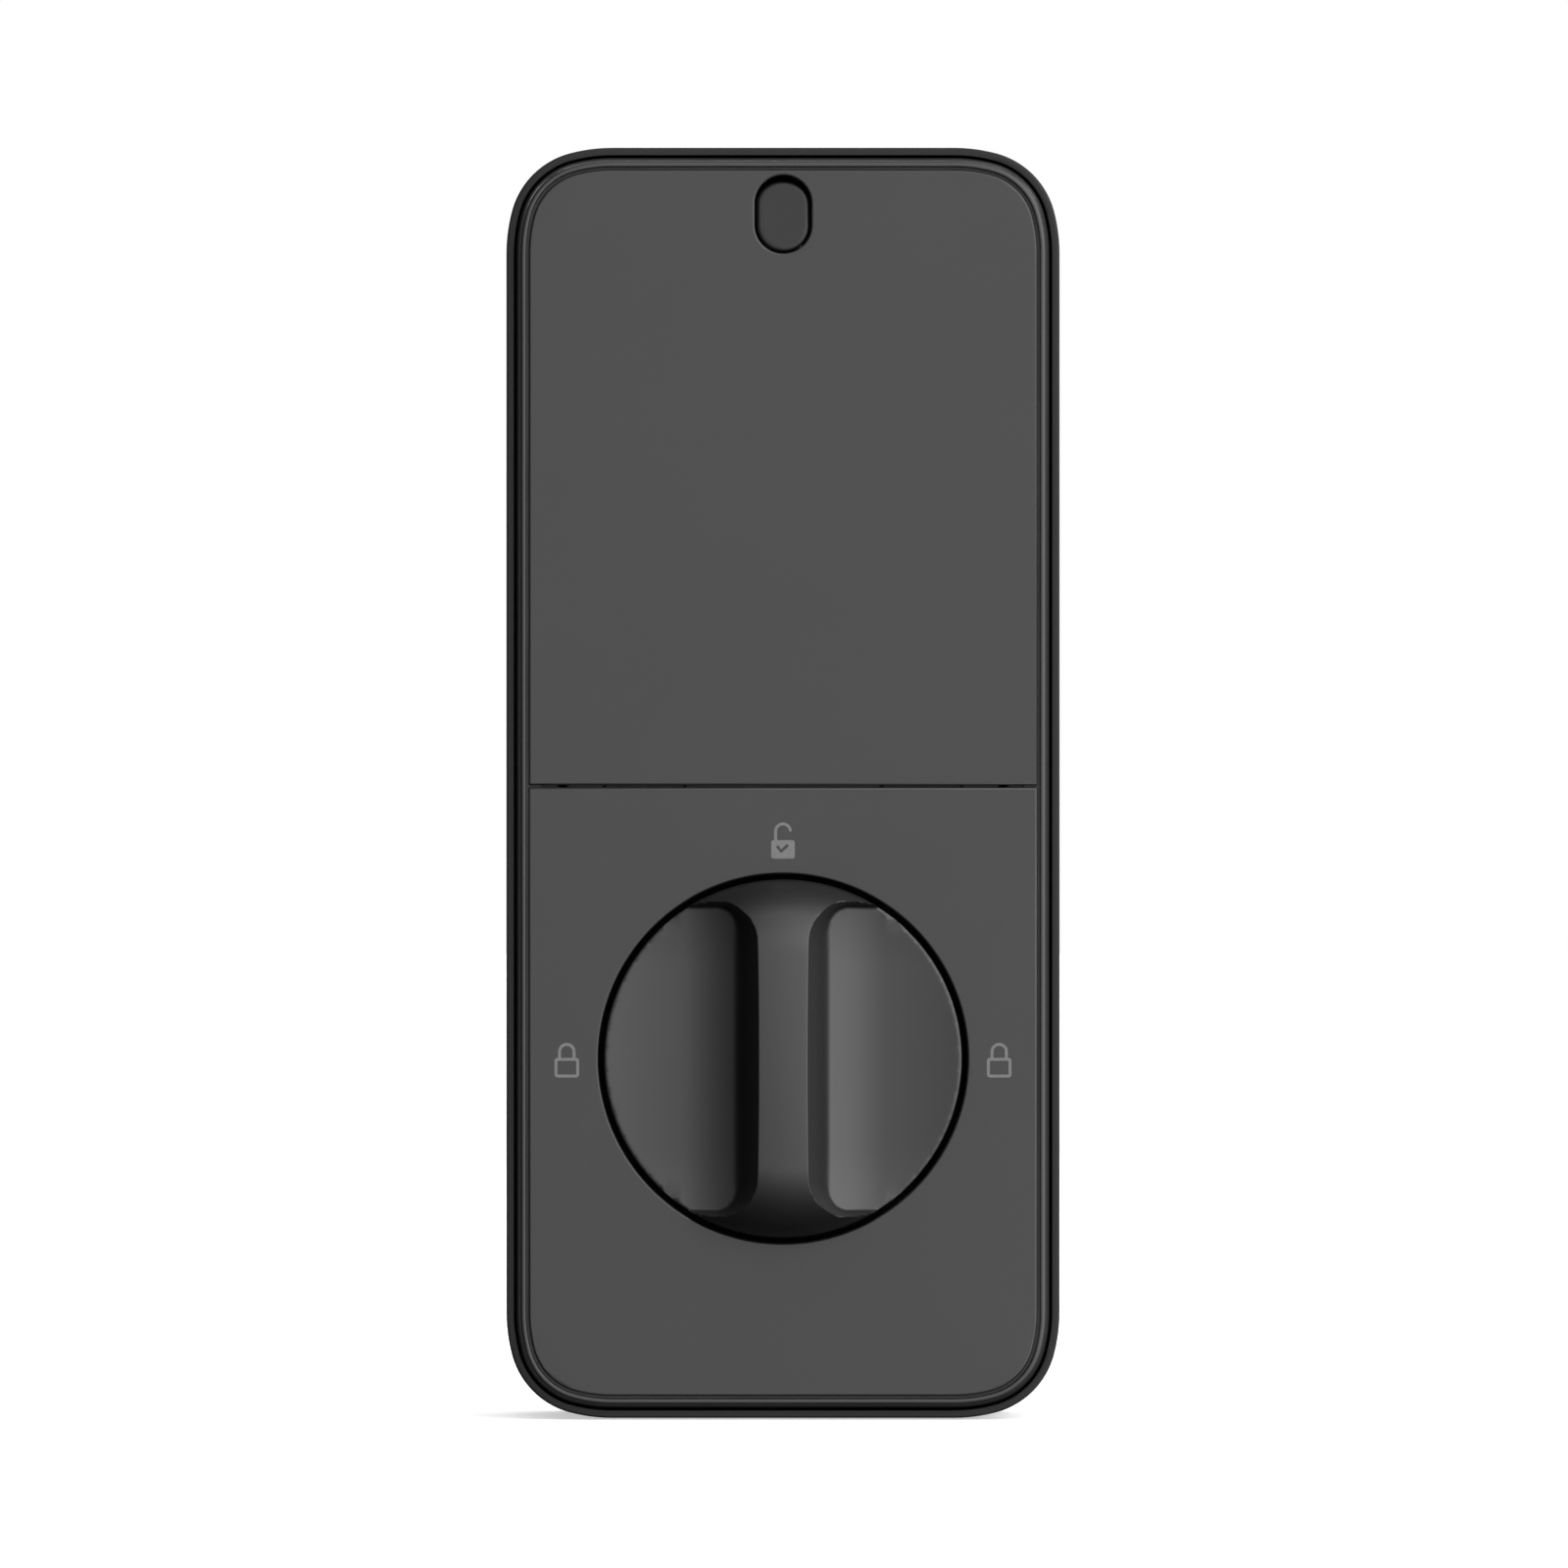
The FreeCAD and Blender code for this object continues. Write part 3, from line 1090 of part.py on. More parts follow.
PARTS = {
    "rear_shell": rear_shell,
    "door_gasket": door_gasket,
    "housing_seal": housing_seal,
    "front_frame": front_frame,
    "lower_fascia": lower_fascia,
    "lock_icons": icons,
    "battery_cover": battery_cover,
    "cover_pads": cover_pads,
    "cover_latch": cover_latch,
    "latch_pin": latch_pin,
    "latch_spring": latch_spring,
    "battery_tray": battery_tray,
    "battery_contacts": battery_contacts,
    "battery_springs": battery_springs,
    "main_board": main_board,
    "radio_module": radio_module,
    "buzzer": buzzer,
    "board_components": board_components,
    "cable_header": cable_header,
    "setup_switch": setup_switch,
    "setup_button": setup_button,
    "motor_flex": motor_flex,
    "output_gear": output_gear,
    "gear_stage_2": gear_stage_2,
    "gear_stage_1": gear_stage_1,
    "motor_pinion": motor_pinion,
    "motor_shaft": motor_shaft,
    "motor": motor,
    "gearbox_base": gearbox_base,
    "gearbox_cover": gearbox_cover,
    "gearbox_posts": gearbox_posts,
    "gear_axles": gear_axles,
    "thumbturn_knob": thumbturn_knob,
    "thumbturn_spindle": thumbturn_spindle,
    "spindle_screws": spindle_screws,
    "position_magnet": position_magnet,
    "retaining_clip": retaining_clip,
    "front_bush": front_bush,
    "rear_bush": rear_bush,
    "mounting_plate": mounting_plate,
    "plate_standoffs": plate_standoffs,
    "case_screws": case_screws,
    "gearbox_screws": gearbox_screws,
    "motor_screws": motor_screws,
    "board_screws": board_screws,
    "plate_screws": plate_screws,
    "bottom_screw": bottom_screw,
}
for cell in range(len(CELL_XS)):
    PARTS[f"battery_{cell + 1}"] = lambda cell=cell: battery(cell)

os.makedirs("parts", exist_ok=True)
for node, make in PARTS.items():
    made = make()
    shape = Part.makeCompound(made) if isinstance(made, list) else made
    shape.exportStep(f"parts/{node}.step")
    verdict = "valid" if shape.isValid() else "NOT VALID"
    print(node, len(shape.Solids), "solids", verdict, round(shape.Volume, 1))
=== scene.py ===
import bpy
import bmesh
import math
from mathutils import Matrix, Vector
from mathutils.geometry import delaunay_2d_cdt


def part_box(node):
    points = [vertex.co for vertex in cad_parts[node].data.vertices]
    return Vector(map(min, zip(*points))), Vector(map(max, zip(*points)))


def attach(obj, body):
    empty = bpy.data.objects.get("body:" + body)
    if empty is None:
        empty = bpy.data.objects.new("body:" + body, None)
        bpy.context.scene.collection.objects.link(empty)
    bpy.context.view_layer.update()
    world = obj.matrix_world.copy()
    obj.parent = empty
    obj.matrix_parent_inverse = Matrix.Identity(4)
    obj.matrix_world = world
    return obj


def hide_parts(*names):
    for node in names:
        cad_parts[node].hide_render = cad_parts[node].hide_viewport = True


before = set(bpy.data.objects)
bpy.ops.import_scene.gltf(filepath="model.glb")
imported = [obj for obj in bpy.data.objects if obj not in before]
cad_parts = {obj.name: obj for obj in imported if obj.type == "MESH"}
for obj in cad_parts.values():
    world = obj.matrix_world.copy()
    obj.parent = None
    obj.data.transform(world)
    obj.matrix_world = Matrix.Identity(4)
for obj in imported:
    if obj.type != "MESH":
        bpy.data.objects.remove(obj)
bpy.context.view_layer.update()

# ---------------------------------------------------------------------------------------------
# Rear shell: an ABS box moulded in near black with a fine spark-eroded grain.
# Its thin front lip stands round the front frame, and its open rear sits against the door.
# The wall is swept round the outline, and the back wall is a pierced sheet inside it.
# ---------------------------------------------------------------------------------------------
mm = 0.001
shell_low, shell_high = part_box("rear_shell")
half_width = shell_high.x
corner_radius = 10.6 * mm
ease_radius = 21.3 * mm
ease_angle = math.radians(15)
lip_wall = 1.05 * mm
lip_round = 0.3 * mm
shell_wall = 2.6 * mm
back_front_y = -6.6 * mm
back_rear_y = -4.6 * mm
shoulder_y = -22.0 * mm
gasket_groove_inset, gasket_groove_width, gasket_groove_depth = 0.7 * mm, 1.2 * mm, 0.8 * mm


def corner_stretches():
    """Centre distances from the sides, radius, start and end angle of a corner's three arcs."""
    spread = ease_radius - corner_radius
    centre = ease_radius - spread * math.cos(ease_angle)
    reach = centre + spread * math.sin(ease_angle)
    quarter = math.pi / 2
    return [(ease_radius, reach, ease_radius, 0.0, ease_angle),
            (centre, centre, corner_radius, ease_angle, quarter - ease_angle),
            (reach, ease_radius, ease_radius, quarter - ease_angle, quarter)]


def outline(inset):
    """The body's outline moved inwards, as (x, z) points in order."""
    quadrant = []
    for from_side, from_end, radius, a0, a1 in corner_stretches():
        steps = max(4, round(math.degrees(a1 - a0) / 2.5))
        for i in range(steps + 1):
            a = a0 + (a1 - a0) * i / steps
            if quadrant and i == 0:
                continue
            quadrant.append((half_width - from_side + (radius - inset) * math.cos(a),
                             (radius - inset) * math.sin(a) - from_end))
    top, bottom = shell_high.z, shell_low.z
    points = [(x, top + z) for x, z in quadrant]
    points += [(-x, top + z) for x, z in reversed(quadrant)]
    points += [(-x, bottom - z) for x, z in quadrant]
    points += [(x, bottom - z) for x, z in reversed(quadrant)]
    return points


def arc_points(cx, cy, radius, a0, a1, steps):
    """Points on an arc, angles in degrees; radius may be a pair for an ellipse."""
    rx, ry = radius if isinstance(radius, tuple) else (radius, radius)
    points = []
    for i in range(steps + 1):
        a = math.radians(a0 + (a1 - a0) * i / steps)
        points.append((cx + rx * math.cos(a), cy + ry * math.sin(a)))
    return points


def dress(piece, material, sharp=32, bevel=0.0):
    """Merges a piece's mesh, turns its faces outwards, and smooths, softens and paints it."""
    bm = bmesh.new()
    bm.from_mesh(piece.data)
    bmesh.ops.remove_doubles(bm, verts=bm.verts, dist=1e-6)
    bmesh.ops.recalc_face_normals(bm, faces=bm.faces)
    for face in bm.faces:
        face.smooth = True
    for edge in bm.edges:
        edge.smooth = bevel > 0 or not (edge.is_manifold and edge.calc_face_angle(0) > math.radians(sharp))
    bm.to_mesh(piece.data)
    bm.free()
    if material:
        piece.data.materials.clear()
        piece.data.materials.append(material)
    if bevel:
        soft = piece.modifiers.new("softened_edges", "BEVEL")
        soft.width, soft.segments, soft.use_clamp_overlap = bevel, 2, False
        soft.limit_method, soft.angle_limit = "ANGLE", math.radians(sharp)
    weighted = piece.modifiers.new("weighted_normals", "WEIGHTED_NORMAL")
    weighted.keep_sharp = True
    return piece


def made_piece(name, bm, material, sharp=32, bevel=0.0):
    """Turns a bmesh into a finished piece."""
    mesh = bpy.data.meshes.new(name)
    bm.to_mesh(mesh)
    bm.free()
    piece = bpy.data.objects.new(name, mesh)
    bpy.context.scene.collection.objects.link(piece)
    return dress(piece, material, sharp, bevel)


def cut_away(piece, cutter, material):
    """Cuts a closed cutter out of a piece and dresses what is left."""
    piece.modifiers.clear()
    hole = piece.modifiers.new("cut", "BOOLEAN")
    hole.object, hole.operation, hole.solver = cutter, "DIFFERENCE", "EXACT"
    cut = bpy.data.meshes.new_from_object(piece.evaluated_get(bpy.context.evaluated_depsgraph_get()))
    piece.modifiers.clear()
    piece.data = cut
    bpy.data.objects.remove(cutter)
    return dress(piece, material)


def fit(piece, body, node):
    """Hangs a finished piece on its body, where it stands for its CAD node."""
    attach(piece, body)
    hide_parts(node)


def add_node(tree, kind, inputs=None, **settings):
    """Adds a node; an input is given a value or a socket to link."""
    node = tree.nodes.new(kind)
    for name, value in settings.items():
        setattr(node, name, value)
    for key, value in (inputs or {}).items():
        if isinstance(value, bpy.types.NodeSocket):
            tree.links.new(value, node.inputs[key])
        else:
            node.inputs[key].default_value = value
    return node


def new_tree(name, sockets):
    """Geometry-nodes group with named inputs; returns the group and its input node."""
    tree = bpy.data.node_groups.new(name, "GeometryNodeTree")
    tree.interface.new_socket("Geometry", in_out="INPUT", socket_type="NodeSocketGeometry")
    for label, kind in sockets:
        tree.interface.new_socket(label, in_out="INPUT", socket_type="NodeSocket" + kind)
    tree.interface.new_socket("Geometry", in_out="OUTPUT", socket_type="NodeSocketGeometry")
    return tree, tree.nodes.new("NodeGroupInput")


def close_tree(tree, given, geometry):
    """Ends a tree in realised instances that carry the material it was given."""
    solid = add_node(tree, "GeometryNodeRealizeInstances", {"Geometry": geometry})
    painted = add_node(tree, "GeometryNodeSetMaterial",
                       {"Geometry": solid.outputs[0], "Material": given.outputs["Material"]})
    tree.links.new(painted.outputs[0], tree.nodes.new("NodeGroupOutput").inputs[0])


def scene_object(name, points, edges=()):
    """Object of points and edges, as the base of a tree."""
    mesh = bpy.data.meshes.new(name)
    mesh.from_pydata(points, list(edges), [])
    item = bpy.data.objects.new(name, mesh)
    bpy.context.scene.collection.objects.link(item)
    return item


def loop_object(name, points):
    """Closed chain of edges through flat points."""
    count = len(points)
    return scene_object(name, [(x, y, 0) for x, y in points], [(i, (i + 1) % count) for i in range(count)])


def grown(name, base, tree, values):
    """Runs a tree on a base object, with inputs set by identifier, and keeps the plain mesh."""
    modifier = base.modifiers.new("nodes", "NODES")
    modifier.node_group = tree
    for item in tree.interface.items_tree:
        if item.in_out == "INPUT" and item.name in values:
            modifier[item.identifier] = values[item.name]
    mesh = bpy.data.meshes.new_from_object(base.evaluated_get(bpy.context.evaluated_depsgraph_get()))
    base.modifiers.remove(modifier)
    bpy.data.objects.remove(base)
    mesh.name = name
    piece = bpy.data.objects.new(name, mesh)
    bpy.context.scene.collection.objects.link(piece)
    return dress(piece, None)


# Sweeps a closed section round the outline, which lies flat and is then stood up.
sweep_tree, given = new_tree("section_round_the_outline", [
    ("Section", "Object"), ("Inset", "Float"), ("Depth", "Float"), ("Material", "Material")])
path = add_node(sweep_tree, "GeometryNodeMeshToCurve", {0: given.outputs["Geometry"]})
upright = add_node(sweep_tree, "GeometryNodeSetCurveNormal", {0: path.outputs[0]}, mode="Z_UP")
section = add_node(sweep_tree, "GeometryNodeObjectInfo", {"Object": given.outputs["Section"]})
profile = add_node(sweep_tree, "GeometryNodeMeshToCurve", {0: section.outputs["Geometry"]})
inwards = add_node(sweep_tree, "ShaderNodeMath", {0: given.outputs["Inset"], 1: -1.0}, operation="MULTIPLY")
offset = add_node(sweep_tree, "ShaderNodeCombineXYZ", {0: inwards.outputs[0], 1: given.outputs["Depth"]})
placed = add_node(sweep_tree, "GeometryNodeTransform",
                  {0: profile.outputs[0], "Translation": offset.outputs[0]})
swept = add_node(sweep_tree, "GeometryNodeCurveToMesh",
                 {"Curve": upright.outputs[0], "Profile Curve": placed.outputs[0]})
stood = add_node(sweep_tree, "GeometryNodeTransform", {0: swept.outputs[0], "Rotation": (math.pi / 2, 0, 0)})
close_tree(sweep_tree, given, stood.outputs[0])


def swept_ring(name, profile_points, inset, depth, material):
    """Ring whose (inset, y) section runs round the body's outline."""
    section_object = loop_object(name + "_section", [(-x, y) for x, y in profile_points])
    ring = grown(name, loop_object(name + "_path", outline(0)), sweep_tree,
                 {"Section": section_object, "Inset": inset, "Depth": depth, "Material": material})
    bpy.data.objects.remove(section_object)
    return ring


def strips(bm, rings):
    """Quads between neighbouring closed rings of vertices, or triangles to a lone one."""
    for one, other in zip(rings, rings[1:]):
        count = max(len(one), len(other))
        for i in range(count):
            j = (i + 1) % count
            corners = [one[i % len(one)], one[j % len(one)], other[j % len(other)], other[i % len(other)]]
            bm.faces.new(list(dict.fromkeys(corners)))


def ring_of(bm, points, y):
    """Ring of vertices at depth y; y may be a function of (x, z)."""
    return [bm.verts.new((x, y(x, z) if callable(y) else y, z)) for x, z in points]


def circle(x, z, radius, steps=96):
    """Hole outline that grows by the offset given."""
    return lambda d: [(x + (radius + d) * math.cos(2 * math.pi * i / steps),
                       z + (radius + d) * math.sin(2 * math.pi * i / steps)) for i in range(steps)]


def slot_outline(x0, x1, z0, z1, radius):
    """Rectangle with round corners, which grows by the offset given."""
    def points(d):
        r = max(radius + d, 1e-5)
        result = []
        for cx, cz, a in ((x1 - radius, z1 - radius, 0), (x0 + radius, z1 - radius, 90),
                          (x0 + radius, z0 + radius, 180), (x1 - radius, z0 + radius, 270)):
            result += arc_points(cx, cz, r, a, a + 90, 10)
        return result
    return points


def sheet_mesh(bm, loops, front, back, bevel, steps=3):
    """Pierced sheet between two depths, with a small round on every front and back edge."""
    for y, towards in ((front, 1), (back, -1)):
        rims = []
        for loop in loops:
            rings = []
            for k in range(steps + 1):
                a = math.pi / 2 * k / steps
                d, rise = bevel * (1 - math.cos(a)), bevel * (1 - math.sin(a))
                rings.append(ring_of(bm, loop(d), y + towards * rise))
            strips(bm, rings)
            last = rings[-1]
            rims += [bm.edges.get(pair) or bm.edges.new(pair) for pair in zip(last, last[1:] + last[:1])]
        bmesh.ops.triangle_fill(bm, edges=rims, use_beauty=True, use_dissolve=False)
    for loop in loops:
        strips(bm, [ring_of(bm, loop(0), front + bevel), ring_of(bm, loop(0), back - bevel)])


def lathe(bm, profile, centre, axis="Y", angles=48):
    """Turns (radius, along) points about a line through centre; a radius may depend on the angle."""
    turns = [2 * math.pi * i / angles for i in range(angles)] if isinstance(angles, int) else angles
    rings = []
    for radius, along in profile:
        ring = []
        for a in turns if radius != 0 else turns[:1]:
            r = radius(a) if callable(radius) else radius
            u, v = r * math.cos(a), r * math.sin(a)
            spot = {"X": (along, u, v), "Y": (u, along, v), "Z": (u, v, along)}[axis]
            ring.append(bm.verts.new(Vector(centre) + Vector(spot)))
        rings.append(ring)
    strips(bm, rings)


def pin_profile(radius, start, end, chamfer=0.15 * mm):
    """Closed profile of a plain pin with chamfered ends."""
    return [(0, start), (radius - chamfer, start), (radius, start + chamfer), (radius, end - chamfer),
            (radius - chamfer, end), (0, end)]


def tube_profile(radius, bore, start, end, chamfer=0.15 * mm):
    """Profile of a bored sleeve with chamfered mouths, closed on itself."""
    return [(bore, start + chamfer), (bore + chamfer, start), (radius - chamfer, start),
            (radius, start + chamfer), (radius, end - chamfer), (radius - chamfer, end),
            (bore + chamfer, end), (bore, end - chamfer), (bore, start + chamfer)]



def solids_of(node):
    """Boxes of the separate solids of a CAD node, from the lowest up and from left to right."""
    bm = bmesh.new()
    bm.from_mesh(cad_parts[node].data)
    bmesh.ops.remove_doubles(bm, verts=bm.verts, dist=1e-7)
    left, boxes = set(bm.verts), []
    while left:
        stack, found = [left.pop()], []
        while stack:
            vert = stack.pop()
            found.append(vert.co.copy())
            for other in (edge.other_vert(vert) for edge in vert.link_edges):
                if other in left:
                    left.discard(other)
                    stack.append(other)
        boxes.append(tuple(Vector(pick(v[k] for v in found) for k in range(3)) for pick in (min, max)))
    bm.free()
    return sorted(boxes, key=lambda b: (round(b[0].z, 5), b[0].x, b[0].y))


def axis_of(low, high):
    """Point (x, 0, z) on the axis along Y through the middle of a box."""
    return (low.x + high.x) / 2, 0, (low.z + high.z) / 2


def linear(code):
    """sRGB hex code to a linear colour."""
    parts = [int(code[i:i + 2], 16) / 255 for i in (1, 3, 5)]
    return [c / 12.92 if c <= 0.04045 else ((c + 0.055) / 1.055) ** 2.4 for c in parts] + [1.0]


def new_material(name, **constants):
    """Empty material with a principled shader; constants go straight on its sockets."""
    material = bpy.data.materials.new(name)
    material.use_nodes = True
    tree = material.node_tree
    shader = tree.nodes["Principled BSDF"]
    for key, value in constants.items():
        shader.inputs[key.replace("_", " ")].default_value = value
    return material, tree, shader


def toned(tree, shader, tones, finish, factor, gloss, span):
    """Colour that follows one factor and roughness that follows another, across a span."""
    ramp = add_node(tree, "ShaderNodeValToRGB", {"Fac": factor})
    for stop, position, tone in zip(ramp.color_ramp.elements, span, tones):
        stop.position, stop.color = position, linear(tone)
    tree.links.new(ramp.outputs["Color"], shader.inputs["Base Color"])
    rough = add_node(tree, "ShaderNodeMapRange", {"Value": gloss, "From Min": span[0], "From Max": span[1],
                                                  "To Min": finish[0], "To Max": finish[1]})
    tree.links.new(rough.outputs["Result"], shader.inputs["Roughness"])


def tone_and_finish(tree, shader, tones, patch, finish):
    """Colour and roughness that drift a little over patches of the given size in metres."""
    place = add_node(tree, "ShaderNodeTexCoord").outputs["Object"]
    drift = add_node(tree, "ShaderNodeTexNoise", {"Vector": place, "Scale": 1 / patch, "Detail": 3.0})
    toned(tree, shader, tones, finish, drift.outputs["Fac"], drift.outputs["Fac"], (0.3, 0.7))
    return place


def relief(tree, shader, height, depth):
    """Bump of the given depth in metres from a height socket."""
    bump = add_node(tree, "ShaderNodeBump", {"Height": height, "Distance": depth, "Strength": 1.0})
    tree.links.new(bump.outputs["Normal"], shader.inputs["Normal"])


def moulded_plastic(name, tones, finish, grain, depth, specular=0.5):
    """Injection-moulded ABS: an even tone and the mould's spark-eroded grain, of the given width."""
    material, tree, shader = new_material(name, IOR=1.5, Specular_IOR_Level=specular)
    place = tone_and_finish(tree, shader, tones, 14 * mm, finish)
    fine = add_node(tree, "ShaderNodeTexNoise", {"Vector": place, "Scale": 1 / grain, "Detail": 2.0,
                                                 "Roughness": 0.6})
    pits = add_node(tree, "ShaderNodeTexVoronoi", {"Vector": place, "Scale": 0.7 / grain})
    both = add_node(tree, "ShaderNodeMath", {0: fine.outputs["Fac"], 1: pits.outputs["Distance"]},
                    operation="ADD")
    relief(tree, shader, both.outputs["Value"], depth)
    return material


# Near-black ABS: low gloss, the grain breaks up the highlight on the sides.
shell_plastic = moulded_plastic("abs_black_spark_eroded", ("#161617", "#1a1a1b"), (0.46, 0.54), 0.25 * mm,
                                0.005 * mm, specular=0.2)
groove_back = gasket_groove_inset + gasket_groove_width
wall_profile = (
    arc_points(lip_round, shell_low.y + lip_round, lip_round, 180, 270, 4)
    + arc_points(lip_wall - lip_round / 2, shell_low.y + lip_round / 2, lip_round / 2, 270, 360, 3)
    + [(lip_wall, shoulder_y), (shell_wall, shoulder_y), (shell_wall, -0.2 * mm), (shell_wall - 0.2 * mm, 0),
       (groove_back, 0), (groove_back, -gasket_groove_depth),
       (gasket_groove_inset, -gasket_groove_depth), (gasket_groove_inset, 0), (0.2 * mm, 0), (0, -0.2 * mm)])
shell_walls = swept_ring("rear_shell_walls", wall_profile, 0.0, 0.0, shell_plastic)

# The bottom screw's counterbore goes through the wall's foot.
bottom_low, bottom_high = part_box("bottom_screw")
bottom_screw_y = (bottom_low.y + bottom_high.y) / 2
head_bore, head_seat, shank_hole = 2.15 * mm, 1.35 * mm, 1.3 * mm
bm = bmesh.new()
lathe(bm, pin_profile(head_bore, shell_low.z - 1 * mm, shell_low.z + head_seat), (0, bottom_screw_y, 0), "Z")
lathe(bm, pin_profile(shank_hole, shell_low.z + 1 * mm, shell_low.z + 3 * mm), (0, bottom_screw_y, 0), "Z")
cut_away(shell_walls, made_piece("counterbore_cutter", bm, shell_plastic), shell_plastic)

# The back wall has the spindle's hole, the cable's port and a boss for each board screw.
spindle_hole, port_z = 8.0 * mm, 25 * mm
port_half_width, port_half_height, port_round = 7 * mm, 2.7 * mm, 2 * mm
board_back_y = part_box("main_board")[1].y
bm = bmesh.new()
sheet_mesh(bm, [lambda d: outline(shell_wall + d), circle(0, 0, spindle_hole),
                slot_outline(-port_half_width, port_half_width, port_z - port_half_height,
                             port_z + port_half_height, port_round)],
           back_front_y, back_rear_y, 0.15 * mm)
for low, high in solids_of("board_screws"):
    lathe(bm, pin_profile(2.5 * mm, board_back_y, back_front_y + 0.1 * mm), axis_of(low, high))
shell_back = made_piece("rear_shell_back_wall", bm, shell_plastic)
fit(shell_walls, "housing", "rear_shell")
fit(shell_back, "housing", "rear_shell")

# ---------------------------------------------------------------------------------------------
# Rubber seals: a black EPDM gasket in the groove of the shell's rear rim, and a thin flat seal
# between the shell's shoulder and the front frame.
# ---------------------------------------------------------------------------------------------


def moulded_rubber(name, tones, grain):
    """Matte rubber with a faint bloom of lighter dust."""
    material, tree, shader = new_material(name, IOR=1.5, Specular_IOR_Level=0.3)
    place = tone_and_finish(tree, shader, tones, 5 * mm, (0.8, 0.95))
    fine = add_node(tree, "ShaderNodeTexNoise", {"Vector": place, "Scale": 1 / grain, "Detail": 2.0})
    relief(tree, shader, fine.outputs["Fac"], 0.01 * mm)
    return material


seal_rubber = moulded_rubber("epdm_rubber_moulded", ("#121212", "#191918"), 0.2 * mm)
seal_low, seal_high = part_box("housing_seal")
frame_inset = 1.4 * mm


def flat_section(width, thick, edge):
    """Closed section of a flat strip with round edges, from zero inset and depth."""
    corners = ((width - edge, edge, 270), (width - edge, thick - edge, 0), (edge, thick - edge, 90),
               (edge, edge, 180))
    return [point for x, y, a in corners for point in arc_points(x, y, edge, a, a + 90, 3)]


door_gasket = swept_ring("door_gasket_ring", flat_section(gasket_groove_width, gasket_groove_depth,
                                                          0.25 * mm),
                         gasket_groove_inset, -gasket_groove_depth, seal_rubber)
fit(door_gasket, "housing", "door_gasket")
seal_inset = half_width - seal_high.x
housing_seal = swept_ring("housing_seal_ring", flat_section(1.2 * mm, seal_high.y - seal_low.y, 0.2 * mm),
                          seal_inset, seal_low.y, seal_rubber)
fit(housing_seal, "housing", "housing_seal")

# ---------------------------------------------------------------------------------------------
# Front frame: satin black ABS, moulded with a sloping outer flank and a rounded crest.
# The same sweep makes the rim; the crossbar and the screw bosses stand inside it.
# ---------------------------------------------------------------------------------------------
frame_low, frame_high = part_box("front_frame")
panel_y = frame_low.y
crest_width, frame_wall, ledge_width = 1.15 * mm, 2.0 * mm, 1.2 * mm
panel_back_y, ledge_back_y = panel_y + 2.2 * mm, panel_y + 3.7 * mm
parting_z = 35.4 * mm
frame_plastic = moulded_plastic("abs_black_satin", ("#161617", "#19191a"), (0.30, 0.36), 0.3 * mm, 0.002 * mm)
ledge_inset = frame_inset + frame_wall + ledge_width
crest_section = (
    [(frame_inset, panel_back_y)]
    + arc_points(frame_inset + 0.12 * mm, panel_y + 1.6 * mm, 0.12 * mm, 180, 200, 2)
    + arc_points(frame_inset + 0.84 * mm, panel_y + 0.42 * mm, 0.42 * mm, 200, 270, 8)
    + arc_points(frame_inset + crest_width - 0.12 * mm, panel_y + 0.12 * mm, 0.12 * mm, 270, 360, 4)
    + [(frame_inset + crest_width, panel_back_y), (ledge_inset, panel_back_y), (ledge_inset, ledge_back_y),
       (frame_inset + frame_wall, ledge_back_y), (frame_inset + frame_wall, seal_low.y),
       (frame_inset, seal_low.y)])
frame_rim = swept_ring("front_frame_rim", crest_section, 0.0, 0.0, frame_plastic)


def block(bm, x0, x1, y0, y1, z0, z1):
    """Plain block added to a bmesh; its piece's bevel softens it."""
    matrix = Matrix.Translation(((x0 + x1) / 2, (y0 + y1) / 2, (z0 + z1) / 2)) @ Matrix.Diagonal(
        (abs(x1 - x0), abs(y1 - y0), abs(z1 - z0), 1))
    bmesh.ops.create_cube(bm, size=1.0, matrix=matrix)


def prism_x(bm, points, x0, x1):
    """Solid between two x planes with a (y, z) outline."""
    ends = [[bm.verts.new((x, y, z)) for y, z in points] for x in (x0, x1)]
    strips(bm, ends)
    for end in ends:
        bm.faces.new(end)


def screw_places(node):
    """Axis (x, z) of each screw of a node, whose axes run along Y."""
    return [axis_of(low, high)[::2] for low, high in solids_of(node)]


# The ledge is relieved behind the release window, where the latch button passes it.
relief_half, relief_height = 4.4 * mm, 4 * mm
bm = bmesh.new()
block(bm, -relief_half, relief_half, panel_back_y - 1 * mm, ledge_back_y + 0.1 * mm,
      frame_high.z - relief_height, frame_high.z - frame_wall + 0.01 * mm)
cut_away(frame_rim, made_piece("relief_cutter", bm, frame_plastic), frame_plastic)

crossbar_top, crossbar_foot = parting_z + 2.1 * mm, parting_z - 3.9 * mm
crossbar_back_y, crossbar_mid_y = ledge_back_y + 3.0 * mm, ledge_back_y + 1.5 * mm
tab_x, tab_half = 18.0 * mm, 5.3 * mm
bar_half = half_width - frame_inset - frame_wall + 0.1 * mm
bm = bmesh.new()
block(bm, -bar_half, bar_half, crossbar_mid_y, crossbar_back_y, crossbar_foot, crossbar_top)
for x0, x1 in ((-bar_half, -tab_x - tab_half), (-tab_x + tab_half, tab_x - tab_half),
               (tab_x + tab_half, bar_half)):
    block(bm, x0, x1, ledge_back_y, crossbar_mid_y + 0.1 * mm, crossbar_foot, crossbar_top)
    block(bm, x0, x1, panel_back_y, ledge_back_y + 0.1 * mm, crossbar_foot, parting_z - 0.2 * mm)
catch_back, catch_foot = panel_y + 8.5 * mm, shell_high.z - 5.3 * mm
catch_top = frame_high.z - frame_wall + 0.1 * mm
catch_half, catch_thick = 5 * mm, 1.2 * mm
